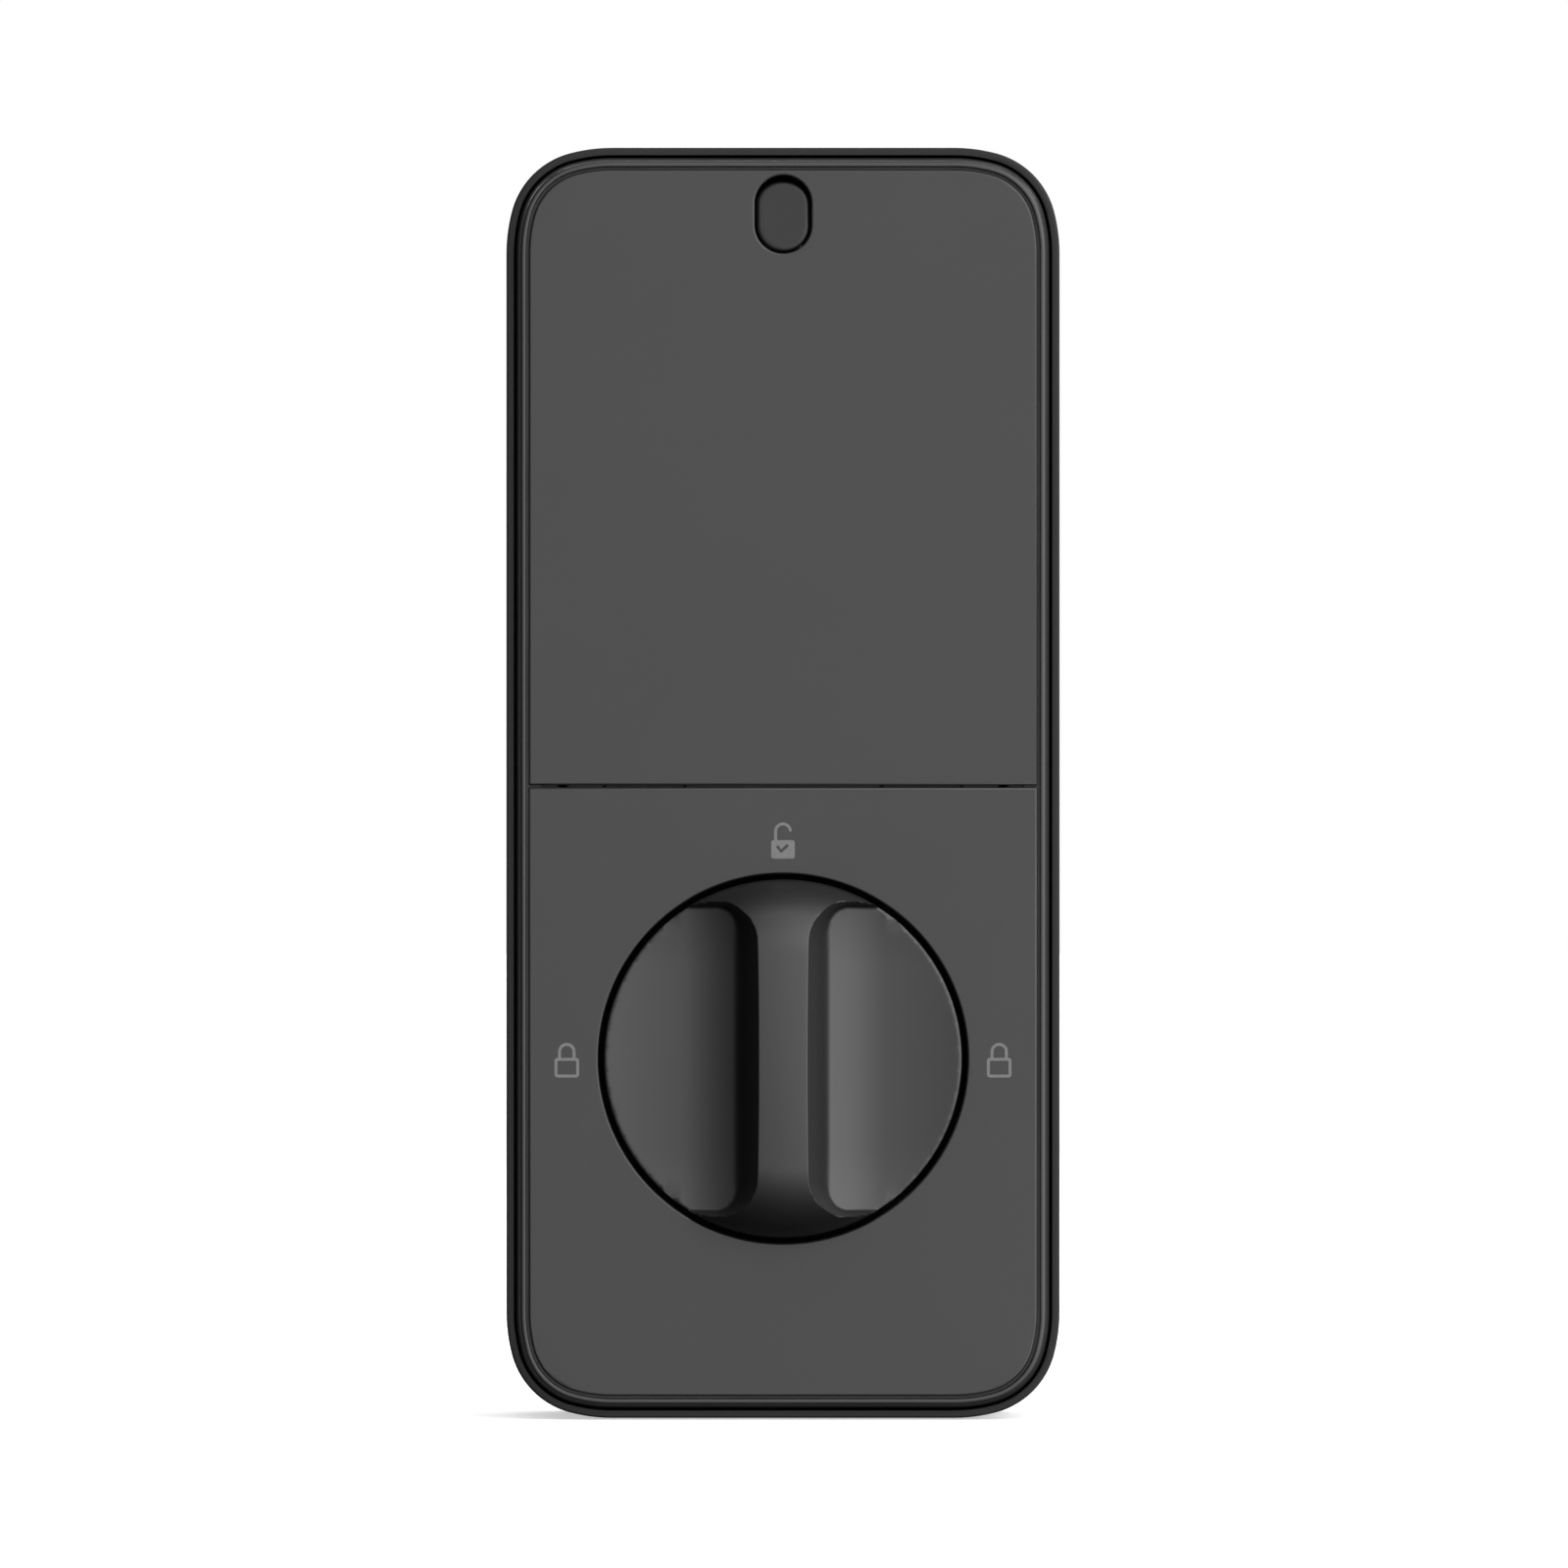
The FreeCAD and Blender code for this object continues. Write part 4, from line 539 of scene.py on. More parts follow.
prism_x(bm, [(catch_back, catch_foot), (catch_back, catch_top), (catch_back - catch_thick, catch_top),
             (catch_back - catch_thick, catch_foot + 1.8 * mm), (catch_back - 0.2 * mm, catch_foot)],
        -catch_half, catch_half)
for x, z in screw_places("case_screws"):
    lathe(bm, tube_profile(3 * mm, 1.4 * mm, ledge_back_y, back_front_y, 0.2 * mm), (x, 0, z), angles=40)
frame_bars = made_piece("front_frame_crossbar_and_bosses", bm, frame_plastic, bevel=0.15 * mm)
fit(frame_rim, "housing", "front_frame")
fit(frame_bars, "housing", "front_frame")

# ---------------------------------------------------------------------------------------------
# Lower fascia: black ABS panel with an even low-gloss mould texture, snapped under the frame's
# ledge. The thumbturn stands in its round hole.
# ---------------------------------------------------------------------------------------------
panel_inset, panel_bevel, parting_gap = 2.95 * mm, 0.38 * mm, 0.3 * mm
knob_low, knob_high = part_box("thumbturn_knob")
knob_radius = knob_high.x
panel_plastic = moulded_plastic("abs_black_fine_texture", ("#131313", "#151515"), (0.42, 0.47), 0.35 * mm,
                                0.0025 * mm)


def half_outline(above):
    """Outline of one panel: the body's outline cut at the parting line, smaller by the offset."""
    def points(d):
        cut = parting_z + (parting_gap / 2 + d) * (1 if above else -1)
        whole = outline(panel_inset + d)
        kept = [(x, z) for x, z in whole if (z > cut) == above]
        side = half_width - panel_inset - d
        ends = [(-side, cut), (side, cut)] if above else [(side, cut), (-side, cut)]
        count = len(whole)
        first = next(i for i in range(count)
                     if (whole[i][1] > cut) == above and (whole[i - 1][1] > cut) != above)
        return [whole[(first + i) % count] for i in range(len(kept))] + ends
    return points


bm = bmesh.new()
sheet_mesh(bm, [half_outline(False), circle(0, 0, knob_radius + 0.7 * mm, 160)], panel_y, panel_back_y,
           panel_bevel * 0.8)
fascia = made_piece("lower_fascia_panel", bm, panel_plastic)
fit(fascia, "housing", "lower_fascia")

# ---------------------------------------------------------------------------------------------
# Marks: a closed padlock on each side of the thumbturn and an open one with a tick above it,
# pad-printed in grey ink, 0.02 mm proud of the fascia.
# ---------------------------------------------------------------------------------------------
stroke, ink_thick = 0.38 * mm, 0.02 * mm
side_mark_x, mark_foot, open_mark_foot = 28.1 * mm, -2.45 * mm, 26.0 * mm


def printed_ink(name, tones):
    """Pad-printed ink: thin, slightly patchy where the panel's grain shows through."""
    material, tree, shader = new_material(name, IOR=1.48)
    place = tone_and_finish(tree, shader, tones, 0.4 * mm, (0.45, 0.6))
    grain = add_node(tree, "ShaderNodeTexNoise", {"Vector": place, "Scale": 1 / (0.2 * mm)})
    relief(tree, shader, grain.outputs["Fac"], 0.003 * mm)
    return material


def flat_shape(bm, loops):
    """Thin printed shape bounded by fixed loops of (x, z) points."""
    sheet_mesh(bm, [lambda d, loop=loop: loop for loop in loops], panel_y - ink_thick, panel_y, 0.002 * mm, 1)


def shackle(x, foot, spring, radius, open_side):
    """Outline of a shackle: two legs and an arch, or one leg where it stands open."""
    inner = radius - stroke
    outer_arc = arc_points(x, spring, radius, 0, 180, 20)
    inner_arc = arc_points(x, spring, inner, 180, 0, 20)
    if open_side:
        return outer_arc + [(x - radius, foot), (x - inner, foot)] + inner_arc
    return ([(x + radius, foot)] + outer_arc + [(x - radius, foot), (x - inner, foot)] + inner_arc
            + [(x + inner, foot)])


bm = bmesh.new()
for x in (-side_mark_x, side_mark_x):
    width, height = 3.2 * mm, 2.55 * mm
    outer = slot_outline(x - width / 2, x + width / 2, mark_foot, mark_foot + height, 0.4 * mm)(0)
    inner = slot_outline(x - width / 2 + stroke, x + width / 2 - stroke, mark_foot + stroke,
                         mark_foot + height - stroke, 0.12 * mm)(0)
    flat_shape(bm, [outer, inner])
    flat_shape(bm, [shackle(x, mark_foot + height, mark_foot + 4.5 * mm - 1.13 * mm, 1.13 * mm, False)])
width, height = 3.06 * mm, 2.4 * mm
body = slot_outline(-width / 2, width / 2, open_mark_foot, open_mark_foot + height, 0.3 * mm)(0)
tick = [(x * mm, open_mark_foot + z * mm)
        for x, z in ((-0.91, 1.5), (-0.24, 0.69), (0.79, 1.66), (0.51, 1.94), (-0.24, 1.23), (-0.63, 1.78))]
flat_shape(bm, [body, tick])
flat_shape(bm, [shackle(0, open_mark_foot + height, open_mark_foot + 3.55 * mm, 1.15 * mm, True)])
marks = made_piece("padlock_marks", bm, printed_ink("pad_printed_grey_ink", ("#555555", "#606060")))
fit(marks, "housing", "lock_icons")

# ---------------------------------------------------------------------------------------------
# Battery cover: the same black panel above the parting line, with an oval release window.
# Behind it are two foot tabs, two cheeks for the latch's pin, ribs and two strips of foam.
# ---------------------------------------------------------------------------------------------
cover_foot_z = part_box("battery_cover")[0].z
window_width, window_height = 7.3 * mm, 10.1 * mm
window_z = shell_high.z - 8.75 * mm
latch_pin_low, latch_pin_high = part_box("latch_pin")
pin_y, pin_z = (latch_pin_low.y + latch_pin_high.y) / 2, (latch_pin_low.z + latch_pin_high.z) / 2


def oval(gap):
    """The release window's outline less a gap; the offset widens it."""
    straight = (window_height - window_width) / 2

    def points(d):
        r = window_width / 2 - gap + d
        return (arc_points(0, window_z + straight, r, 0, 180, 24)
                + arc_points(0, window_z - straight, r, 180, 360, 24))
    return points


bm = bmesh.new()
sheet_mesh(bm, [half_outline(True), oval(0)], panel_y, panel_back_y, panel_bevel * 0.8)
cover_panel = made_piece("battery_cover_panel", bm, panel_plastic)
bm = bmesh.new()
foot_z = parting_z + parting_gap / 2
tab_front_y, tab_back_y = panel_back_y + 0.2 * mm, panel_back_y + 1.4 * mm
for s in (1, -1):
    x0, x1 = s * tab_x - 5 * mm, s * tab_x + 5 * mm
    block(bm, x0, x1, panel_back_y - 0.1 * mm, tab_back_y, foot_z, foot_z + 2.4 * mm)
    block(bm, x0, x1, tab_front_y, tab_back_y, cover_foot_z, foot_z + 1 * mm)
    xs = sorted((s * 4.3 * mm, s * 5.6 * mm))
    block(bm, *xs, panel_back_y - 0.1 * mm, pin_y + 1.6 * mm, pin_z - 1.8 * mm, pin_z + 1.8 * mm)
for i in range(5):
    z = (48 + 11 * i) * mm
    block(bm, -29 * mm, 29 * mm, panel_back_y - 0.1 * mm, panel_back_y + 0.35 * mm, z, z + 0.8 * mm)
cover_inside = made_piece("battery_cover_ribs_and_tabs", bm, panel_plastic, bevel=0.1 * mm)
fit(cover_panel, "cover", "battery_cover")
fit(cover_inside, "cover", "battery_cover")


def open_cell_foam(name):
    """Charcoal polyurethane foam: open cells about 0.5 mm across."""
    material, tree, shader = new_material(name, IOR=1.4, Specular_IOR_Level=0.2)
    place = tone_and_finish(tree, shader, ("#26262a", "#34343a"), 3 * mm, (0.9, 1.0))
    cells = add_node(tree, "ShaderNodeTexVoronoi", {"Vector": place, "Scale": 1 / (0.5 * mm)})
    relief(tree, shader, cells.outputs["Distance"], 0.15 * mm)
    return material


bm = bmesh.new()
for low, high in solids_of("cover_pads"):
    block(bm, low.x, high.x, low.y + 0.02 * mm, high.y, low.z, high.z)
pads = made_piece("cover_foam_pads", bm, open_cell_foam("polyurethane_foam_charcoal"), bevel=0.15 * mm)
fit(pads, "cover", "cover_pads")

# ---------------------------------------------------------------------------------------------
# Cover latch: a ramped ABS button in the window, sloping inwards towards its round head.
# It turns on a steel pin, and an arm behind it carries the hook that holds the cover shut.
# ---------------------------------------------------------------------------------------------
latch_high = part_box("cover_latch")[1]
latch_gap = 0.2 * mm
ramp_foot_y, ramp_head_y = panel_y + 0.1 * mm, panel_y + 1.0 * mm
ramp_foot_z, ramp_head_z = window_z - window_height / 2, window_z + 4.38 * mm
# The latch's black is a shade darker than the fascia's. This is painted shade: it stands in for the dimmer
# light on the button's upward-tilted face.
latch_plastic_with_painted_shade = moulded_plastic("abs_black_satin_painted_shade", ("#101010", "#121212"), (0.40, 0.45), 0.35 * mm,
                                0.002 * mm, specular=0.3)


def ramp(x, z):
    """Depth of the button's sloping face."""
    t = (z - ramp_foot_z) / (ramp_head_z - ramp_foot_z)
    return ramp_foot_y + (ramp_head_y - ramp_foot_y) * t


def latch_outline(d):
    """The button's outline: the window's oval with a lower, flatter round head."""
    r = window_width / 2 - latch_gap + d
    straight = (window_height - window_width) / 2
    shoulder = window_z + straight
    return (arc_points(0, shoulder, (r, ramp_head_z - shoulder + d), 0, 180, 28)
            + arc_points(0, window_z - straight, r, 180, 360, 28))


bm = bmesh.new()
button_edge = 0.5 * mm
rings = [ring_of(bm, latch_outline(0), panel_back_y + 1.6 * mm)]
for k in range(6):
    a = math.pi / 2 * k / 5
    inset, rise = button_edge * (1 - math.cos(a)), button_edge * (1 - math.sin(a))
    rings.append(ring_of(bm, latch_outline(-inset), lambda x, z, rise=rise: ramp(x, z) + rise))
for inset in (0.9 * mm, 1.6 * mm, 2.4 * mm):
    rings.append(ring_of(bm, latch_outline(-inset), ramp))
strips(bm, rings)
bm.faces.new(rings[-1])
bm.faces.new(list(reversed(rings[0])))
latch_button = made_piece("cover_latch_button", bm, latch_plastic_with_painted_shade)
bm = bmesh.new()
hook_front_y, hook_back_y = latch_high.y - 1.4 * mm, latch_high.y
arm_z = latch_high.z - 2.1 * mm
block(bm, -3 * mm, 3 * mm, panel_back_y + 1.0 * mm, hook_back_y, arm_z - 1.5 * mm, arm_z)
block(bm, -3 * mm, 3 * mm, hook_front_y, hook_back_y, arm_z - 1.0 * mm, latch_high.z)
latch_arm = made_piece("cover_latch_arm", bm, latch_plastic_with_painted_shade, bevel=0.15 * mm)
bm = bmesh.new()
lathe(bm, pin_profile(1.6 * mm, -3.3 * mm, 1.0 * mm, 0.2 * mm), (0, pin_y, pin_z), "X")
latch_barrel = made_piece("cover_latch_barrel", bm, latch_plastic_with_painted_shade)
for piece in (latch_button, latch_arm, latch_barrel):
    fit(piece, "latch", "cover_latch")

# ---------------------------------------------------------------------------------------------
# Thumbturn knob: satin black ABS over a bossed back. A round puck with a raised grip across it;
# its ends drop to the rim in a quarter round, and a shallow dish is sunk on each side of the
# grip. The front is a height field, triangulated along lines that follow the dishes' edges.
# ---------------------------------------------------------------------------------------------
grip_half = 3.2 * mm
dome_radius = 9.3 * mm
dome_rise = panel_y - knob_low.y
pocket_half_height, pocket_corner = 21.0 * mm, 5.4 * mm
pocket_depth, pocket_low_x = 0.8 * mm, 13.0 * mm
pocket_inner_reach, pocket_inner_rise, pocket_outer_rise = 7.6 * mm, 1.42 * mm, 0.5 * mm
wall_lean, end_lean = 2.2 * mm, 1.0 * mm
pocket_end_rise, pocket_end_reach = 0.7 * mm, 9.0 * mm
rim_round = 0.35 * mm
crest_radius = knob_radius - dome_radius
crown_across, crown_along = 100 * mm, 420 * mm


def blend_low(a, b, reach):
    """Smaller of two heights, with a round of the given reach where they cross."""
    h = max(reach - abs(a - b), 0.0) / reach
    return min(a, b) - h * h * reach / 4


def blend_high(a, b, reach):
    """Larger of two heights, with the same round."""
    return -blend_low(-a, -b, reach)


def scoop_place(x, z):
    """Distance inside a scoop's edge, and how far its wall leans there."""
    dx = grip_half + pocket_corner - abs(x)
    dz = abs(z) - (pocket_half_height - pocket_corner)
    if dx > 0 and dz > 0:
        reach = math.hypot(dx, dz)
        return pocket_corner - reach, wall_lean + (end_lean - wall_lean) * (dz / reach) ** 2
    side, end = abs(x) - grip_half, pocket_half_height - abs(z)
    return (side, wall_lean) if side < end else (end, end_lean)


def inside_scoop(x, z):
    """Distance from the scoop's edge, positive inside the scoop's footprint."""
    return scoop_place(x, z)[0]


def crest_height(x, z):
    """Height of the puck over the fascia: a slightly crowned top and a quarter-round rim."""
    out = max(0.0, min(1.0, (math.hypot(x, z) - crest_radius) / dome_radius))
    crown = x * x / crown_across + z * z / crown_along
    return dome_rise * math.sqrt(max(0.0, 1 - out * out)) - crown * math.sqrt(max(0.0, 1 - out))


def scoop_floor(x, z):
    """Height of a scoop's floor: lowest at pocket_low_x and rising to the grip, rim and ends."""
    out = abs(x) - pocket_low_x
    end = max(0.0, abs(z) - pocket_half_height + pocket_end_reach) / pocket_end_reach
    level = -pocket_depth + pocket_end_rise * end ** 2
    if out > 0:
        return level + pocket_outer_rise * (out / (knob_radius - pocket_low_x)) ** 2
    return level + pocket_inner_rise * (out / pocket_inner_reach) ** 2


def knob_height(x, z):
    """Height of the knob's front over the fascia."""
    r = math.hypot(x, z)
    inside, lean = scoop_place(x, z)
    wall = dome_rise * (1 - inside / lean)
    scoop = blend_high(scoop_floor(x, z), wall, 4.0 * mm)
    height = blend_low(crest_height(x, z), scoop, 0.5 * mm)
    inward = knob_radius - r
    drop = rim_round - math.sqrt(max(0.0, rim_round ** 2 - max(0.0, rim_round - inward) ** 2))
    return height - drop


def scoop_line(s):
    """Points along one scoop's edge, moved inwards by s and kept inside the rim."""
    corner = pocket_corner - s
    x0, z0 = grip_half + pocket_corner, pocket_half_height - pocket_corner
    count = 44
    points = [(grip_half + s, z0 * (2 * i / count - 1)) for i in range(count + 1)]
    upper = []
    if corner > 0:
        upper = arc_points(x0, z0, corner, 180, 90, 16)[1:]
        upper += [(x0 + 0.3 * mm * i, pocket_half_height - s) for i in range(1, 17)]
    points = [(x, -z) for x, z in reversed(upper)] + points + upper
    return [(x, z) for x, z in points if math.hypot(x, z) < knob_radius - 0.12 * mm]


def round_points(radius, count):
    """Points of a circle about the knob's axis."""
    return [(radius * math.cos(2 * math.pi * i / count), radius * math.sin(2 * math.pi * i / count))
            for i in range(count)]


def knob_points():
    """Plan points of the knob's front and the edges that the triangles must keep."""
    points, edges = [], []

    def chain(new, closed=False):
        """Adds a run of points joined by edges."""
        start = len(points)
        points.extend(new)
        edges.extend((start + i, start + i + 1) for i in range(len(new) - 1))
        if closed:
            edges.append((start + len(new) - 1, start))

    for back in (0.0, 0.04 * mm, 0.12 * mm):
        chain(round_points(knob_radius - back, 288), True)
    offsets = [-0.9, -0.6, -0.4, -0.28, -0.18, -0.09, 0.0, 0.08, 0.16, 0.26, 0.4, 0.55, 0.72,
               0.9, 1.1, 1.3, 1.5, 1.7, 1.9, 2.1, 2.35, 2.65, 3.0, 3.4, 3.8, 4.3]
    for side in (1, -1):
        for s in offsets:
            chain([(side * x, z) for x, z in scoop_line(s * mm)])
    rings = 26
    for k in range(1, rings):
        r = crest_radius + dome_radius * math.sin(math.pi / 2 * k / rings)
        points.extend(p for p in round_points(r, 240) if inside_scoop(*p) < -1.0 * mm)
    step = 0.75 * mm
    count = int(knob_radius / step) + 1
    for i in range(-count, count + 1):
        for j in range(-count, count + 1):
            x, z = i * step + (0.3 * step if j % 2 else 0), j * step
            r, s = math.hypot(x, z), inside_scoop(x, z)
            crest = s < -1.2 * mm and r < crest_radius
            floor = s > 4.6 * mm and r < knob_radius - 0.5 * mm
            if crest or floor:
                points.append((x, z))
    for back in (0.3, 0.6, 1.0):
        points.extend(p for p in round_points(knob_radius - back * mm, 240) if inside_scoop(*p) > 4.5 * mm)
    return points, edges


plan, kept_edges = knob_points()
plan_points = [Vector((x / mm, z / mm)) for x, z in plan]
flat_points, _, triangles, *_ = delaunay_2d_cdt(plan_points, kept_edges, [], 0, 1e-5)
bm = bmesh.new()
front = [bm.verts.new((p.x * mm, panel_y - knob_height(p.x * mm, p.y * mm), p.y * mm)) for p in flat_points]
for face in triangles:
    bm.faces.new([front[i] for i in face])
extruded = bmesh.ops.extrude_edge_only(bm, edges=[e for e in bm.edges if e.is_boundary])["geom"]
knob_back_y = panel_y + 8.5 * mm
for vert in extruded:
    if isinstance(vert, bmesh.types.BMVert):
        vert.co.y = knob_back_y
bmesh.ops.triangle_fill(bm, edges=[e for e in bm.edges if e.is_boundary], use_beauty=True, use_dissolve=False)
knob_plastic = moulded_plastic("abs_black_satin_soft", ("#121212", "#141414"), (0.38, 0.42), 0.3 * mm,
                               0.001 * mm)
knob_grip = made_piece("thumbturn_knob_grip", bm, knob_plastic, sharp=50)
bm = bmesh.new()
lathe(bm, pin_profile(10 * mm, knob_back_y - 0.1 * mm, knob_high.y, 0.3 * mm), (0, 0, 0), angles=72)
knob_boss = made_piece("thumbturn_knob_boss", bm, knob_plastic)
fit(knob_grip, "thumbturn", "thumbturn_knob")
fit(knob_boss, "thumbturn", "thumbturn_knob")

# ---------------------------------------------------------------------------------------------
# Screws: zinc-plated or black-phosphated steel with a cross recess, driven through the plates into
# bosses and posts. A tree sets one template on every seat of a group and turns each at random,
# as a driver leaves them. Way 0 stands for heads on both sides of the gearbox.
# ---------------------------------------------------------------------------------------------


def worked_metal(name, tones, finish, grain, depth, stretch=(1, 1, 1), patch=4 * mm):
    """Bare or plated metal; the grain is stretched along the way it was worked."""
    material, tree, shader = new_material(name, Metallic=1.0)
    place = tone_and_finish(tree, shader, tones, patch, finish)
    drawn = add_node(tree, "ShaderNodeVectorMath", {0: place, 1: stretch}, operation="MULTIPLY")
    fine = add_node(tree, "ShaderNodeTexNoise",
                    {"Vector": drawn.outputs[0], "Scale": 1 / grain, "Detail": 3.0})
    relief(tree, shader, fine.outputs["Fac"], depth)
    return material


zinc = worked_metal("steel_zinc_plated", ("#9da1a4", "#b4b8ba"), (0.30, 0.42), 0.3 * mm, 0.004 * mm,
                    patch=1.5 * mm)
phosphated = worked_metal("steel_black_phosphated", ("#17181a", "#1e1f21"), (0.5, 0.62), 0.25 * mm,
                          0.006 * mm)
screw_tree, given = new_tree("screws_on_seats",
                             [("Template", "Object"), ("Seed", "Int"), ("Material", "Material")])
turned = add_node(screw_tree, "FunctionNodeRandomValue", {2: 0.0, 3: 2 * math.pi, 8: given.outputs["Seed"]},
                  data_type="FLOAT")
about = add_node(screw_tree, "ShaderNodeCombineXYZ", {1: turned.outputs[1]})
euler = add_node(screw_tree, "FunctionNodeEulerToRotation", {0: about.outputs[0]})
template = add_node(screw_tree, "GeometryNodeObjectInfo", {"Object": given.outputs["Template"]})
seated = add_node(screw_tree, "GeometryNodeInstanceOnPoints",
                  {"Points": given.outputs["Geometry"], "Instance": template.outputs["Geometry"],
                   "Rotation": euler.outputs[0]})
close_tree(screw_tree, given, seated.outputs[0])


def cross_turns(arm):
    """Angles at which a cross recess is drawn; arm is the half angle of its arm's end."""
    quarter = math.pi / 2
    steps = (0.0, arm, math.pi / 8, math.pi / 4, 3 * math.pi / 8, quarter - arm)
    return [q * quarter + a for q in range(4) for a in steps]


def cross_radius(length, half_thick):
    """Radius of a cross-shaped outline as a function of the angle."""
    def radius(a):
        a = a % (math.pi / 2)
        a = min(a, math.pi / 2 - a)
        if math.tan(a) <= half_thick / length + 1e-6:
            return length / math.cos(a)
        return half_thick / math.sin(a)
    return radius


def screw_mesh(bm, shank, head, length, rise, seat, way, countersunk):
    """Cross-recessed screw with its head's underside at depth seat; way +1 faces the rear."""
    reach, thick = head * 0.62, head * 0.16
    arm = math.atan(thick / reach)
    recess = rise * 0.8
    profile = [(0, rise - recess), (cross_radius(reach * 0.45, thick * 0.7), rise - recess),
               (cross_radius(reach, thick), rise - 0.05 * mm),
               (cross_radius(reach + 0.05 * mm, thick + 0.05 * mm), rise)]
    if countersunk:
        profile += [(head - 0.1 * mm, rise), (head, rise - 0.1 * mm), (shank, rise - head + shank)]
    else:
        profile += [(head * 0.8, rise - 0.02 * mm), (head * 0.95, rise * 0.78), (head, rise * 0.45),
                    (head, 0.05 * mm),
                    (head - 0.05 * mm, 0), (shank, 0)]
    pitch, depth = shank * 0.55, shank * 0.18
    start, end = -0.3 * mm if not countersunk else rise - head + shank - 0.2 * mm, -length + shank
    count = int((start - end) / pitch)
    profile.append((shank, start))
    for k in range(count):
        profile += [(shank - depth, start - (k + 0.5) * pitch), (shank, start - (k + 1) * pitch)]
    profile += [(shank * 0.35, -length), (0, -length)]
    lathe(bm, [(radius, seat + way * along) for radius, along in profile], (0, 0, 0), "Y", cross_turns(arm))


def screws(name, groups, seed, countersunk, plating):
    """Screws of one CAD node: each group is (shank, head, length, head height, seat, way, places)."""
    joined = bmesh.new()
    for shank, head, length, rise, seat, way, places in groups:
        bm = bmesh.new()
        screw_mesh(bm, shank, head, length, rise, seat, way, countersunk)
        pattern = made_piece(name + "_template", bm, plating)
        piece = grown(name, scene_object(name + "_seats", [(x, 0, z) for x, z in places]), screw_tree,
                      {"Template": pattern, "Seed": seed, "Material": plating})
        bpy.data.objects.remove(pattern)
        joined.from_mesh(piece.data)
        bpy.data.objects.remove(piece)
    return made_piece(name, joined, plating)


gearbox_middle_y = -5 * mm
for node, plating, body, shank, head, rise, way, seed, countersunk in (
        ("case_screws", zinc, "housing", 1.3, 2.4, 1.5, 1, 3, False),
        ("gearbox_screws", phosphated, "housing", 1.3, 2.4, 1.5, 0, 11, False),
        ("motor_screws", zinc, "housing", 1.0, 1.9, 1.5, 1, 5, False),
        ("board_screws", zinc, "housing", 1.0, 1.9, 1.5, -1, 7, False),
        ("plate_screws", zinc, "housing", 1.5, 2.9, 1.5, -1, 9, False),
        ("spindle_screws", zinc, "thumbturn", 1.25, 2.25, 1.0, 1, 13, True)):
    groups = []
    for side in (1, -1):
        chosen = [b for b in solids_of(node) if side == (way or (1 if b[1].y > gearbox_middle_y else -1))]
        if chosen:
            front_y, rear_y = min(low.y for low, high in chosen), max(high.y for low, high in chosen)
            seat = rear_y - rise * mm if side == 1 else front_y + rise * mm
            groups.append((shank * mm, head * mm, rear_y - front_y - rise * mm, rise * mm, seat, side,
                           [axis_of(low, high)[::2] for low, high in chosen]))
    suffix = "_black" if plating is phosphated else "_zinc"
    fit(screws(node + suffix, groups, seed, countersunk, plating), body, node)

# ---------------------------------------------------------------------------------------------
# Bottom screw: slotted zinc-plated machine screw that locks the housing on the mounting plate.
# ---------------------------------------------------------------------------------------------
bm = bmesh.new()
foot, head_top = bottom_low.z, bottom_low.z + 1.2 * mm
lathe(bm, [(0, foot), (1.9 * mm, foot), (2.1 * mm, foot + 0.2 * mm), (2.1 * mm, head_top),
           (1.25 * mm, head_top)]
      + [(r * mm, head_top + (0.3 + 0.25 * k) * mm) for k, r in enumerate([1.25, 1.05] * 12)]
      + [(1.0 * mm, bottom_high.z - 0.1 * mm), (0.6 * mm, bottom_high.z), (0, bottom_high.z)],
      (0, bottom_screw_y, 0), "Z")
bottom_screw = made_piece("bottom_screw_zinc", bm, zinc)
bm = bmesh.new()
block(bm, -3 * mm, 3 * mm, bottom_screw_y - 0.3 * mm, bottom_screw_y + 0.3 * mm, foot - 1 * mm,
      foot + 0.6 * mm)
cutter = made_piece("slot_cutter", bm, zinc)
cut_away(bottom_screw, cutter, zinc)
fit(bottom_screw, "housing", "bottom_screw")

# ---------------------------------------------------------------------------------------------
# Cells: four AA cells in a plain shrink-wrapped sleeve with a coloured band at the plus end.
# The ends are nickel-plated steel. Neighbours stand head to foot.
# ---------------------------------------------------------------------------------------------


def shrink_film(name, tones):
    """Glossy shrink film over a steel can."""
    material, tree, shader = new_material(name, IOR=1.5, Coat_Weight=0.4, Coat_Roughness=0.12)
    place = tone_and_finish(tree, shader, tones, 6 * mm, (0.26, 0.34))
    folds = add_node(tree, "ShaderNodeTexNoise", {"Vector": place, "Scale": 1 / (2 * mm), "Detail": 1.0})
    relief(tree, shader, folds.outputs["Fac"], 0.01 * mm)
    return material


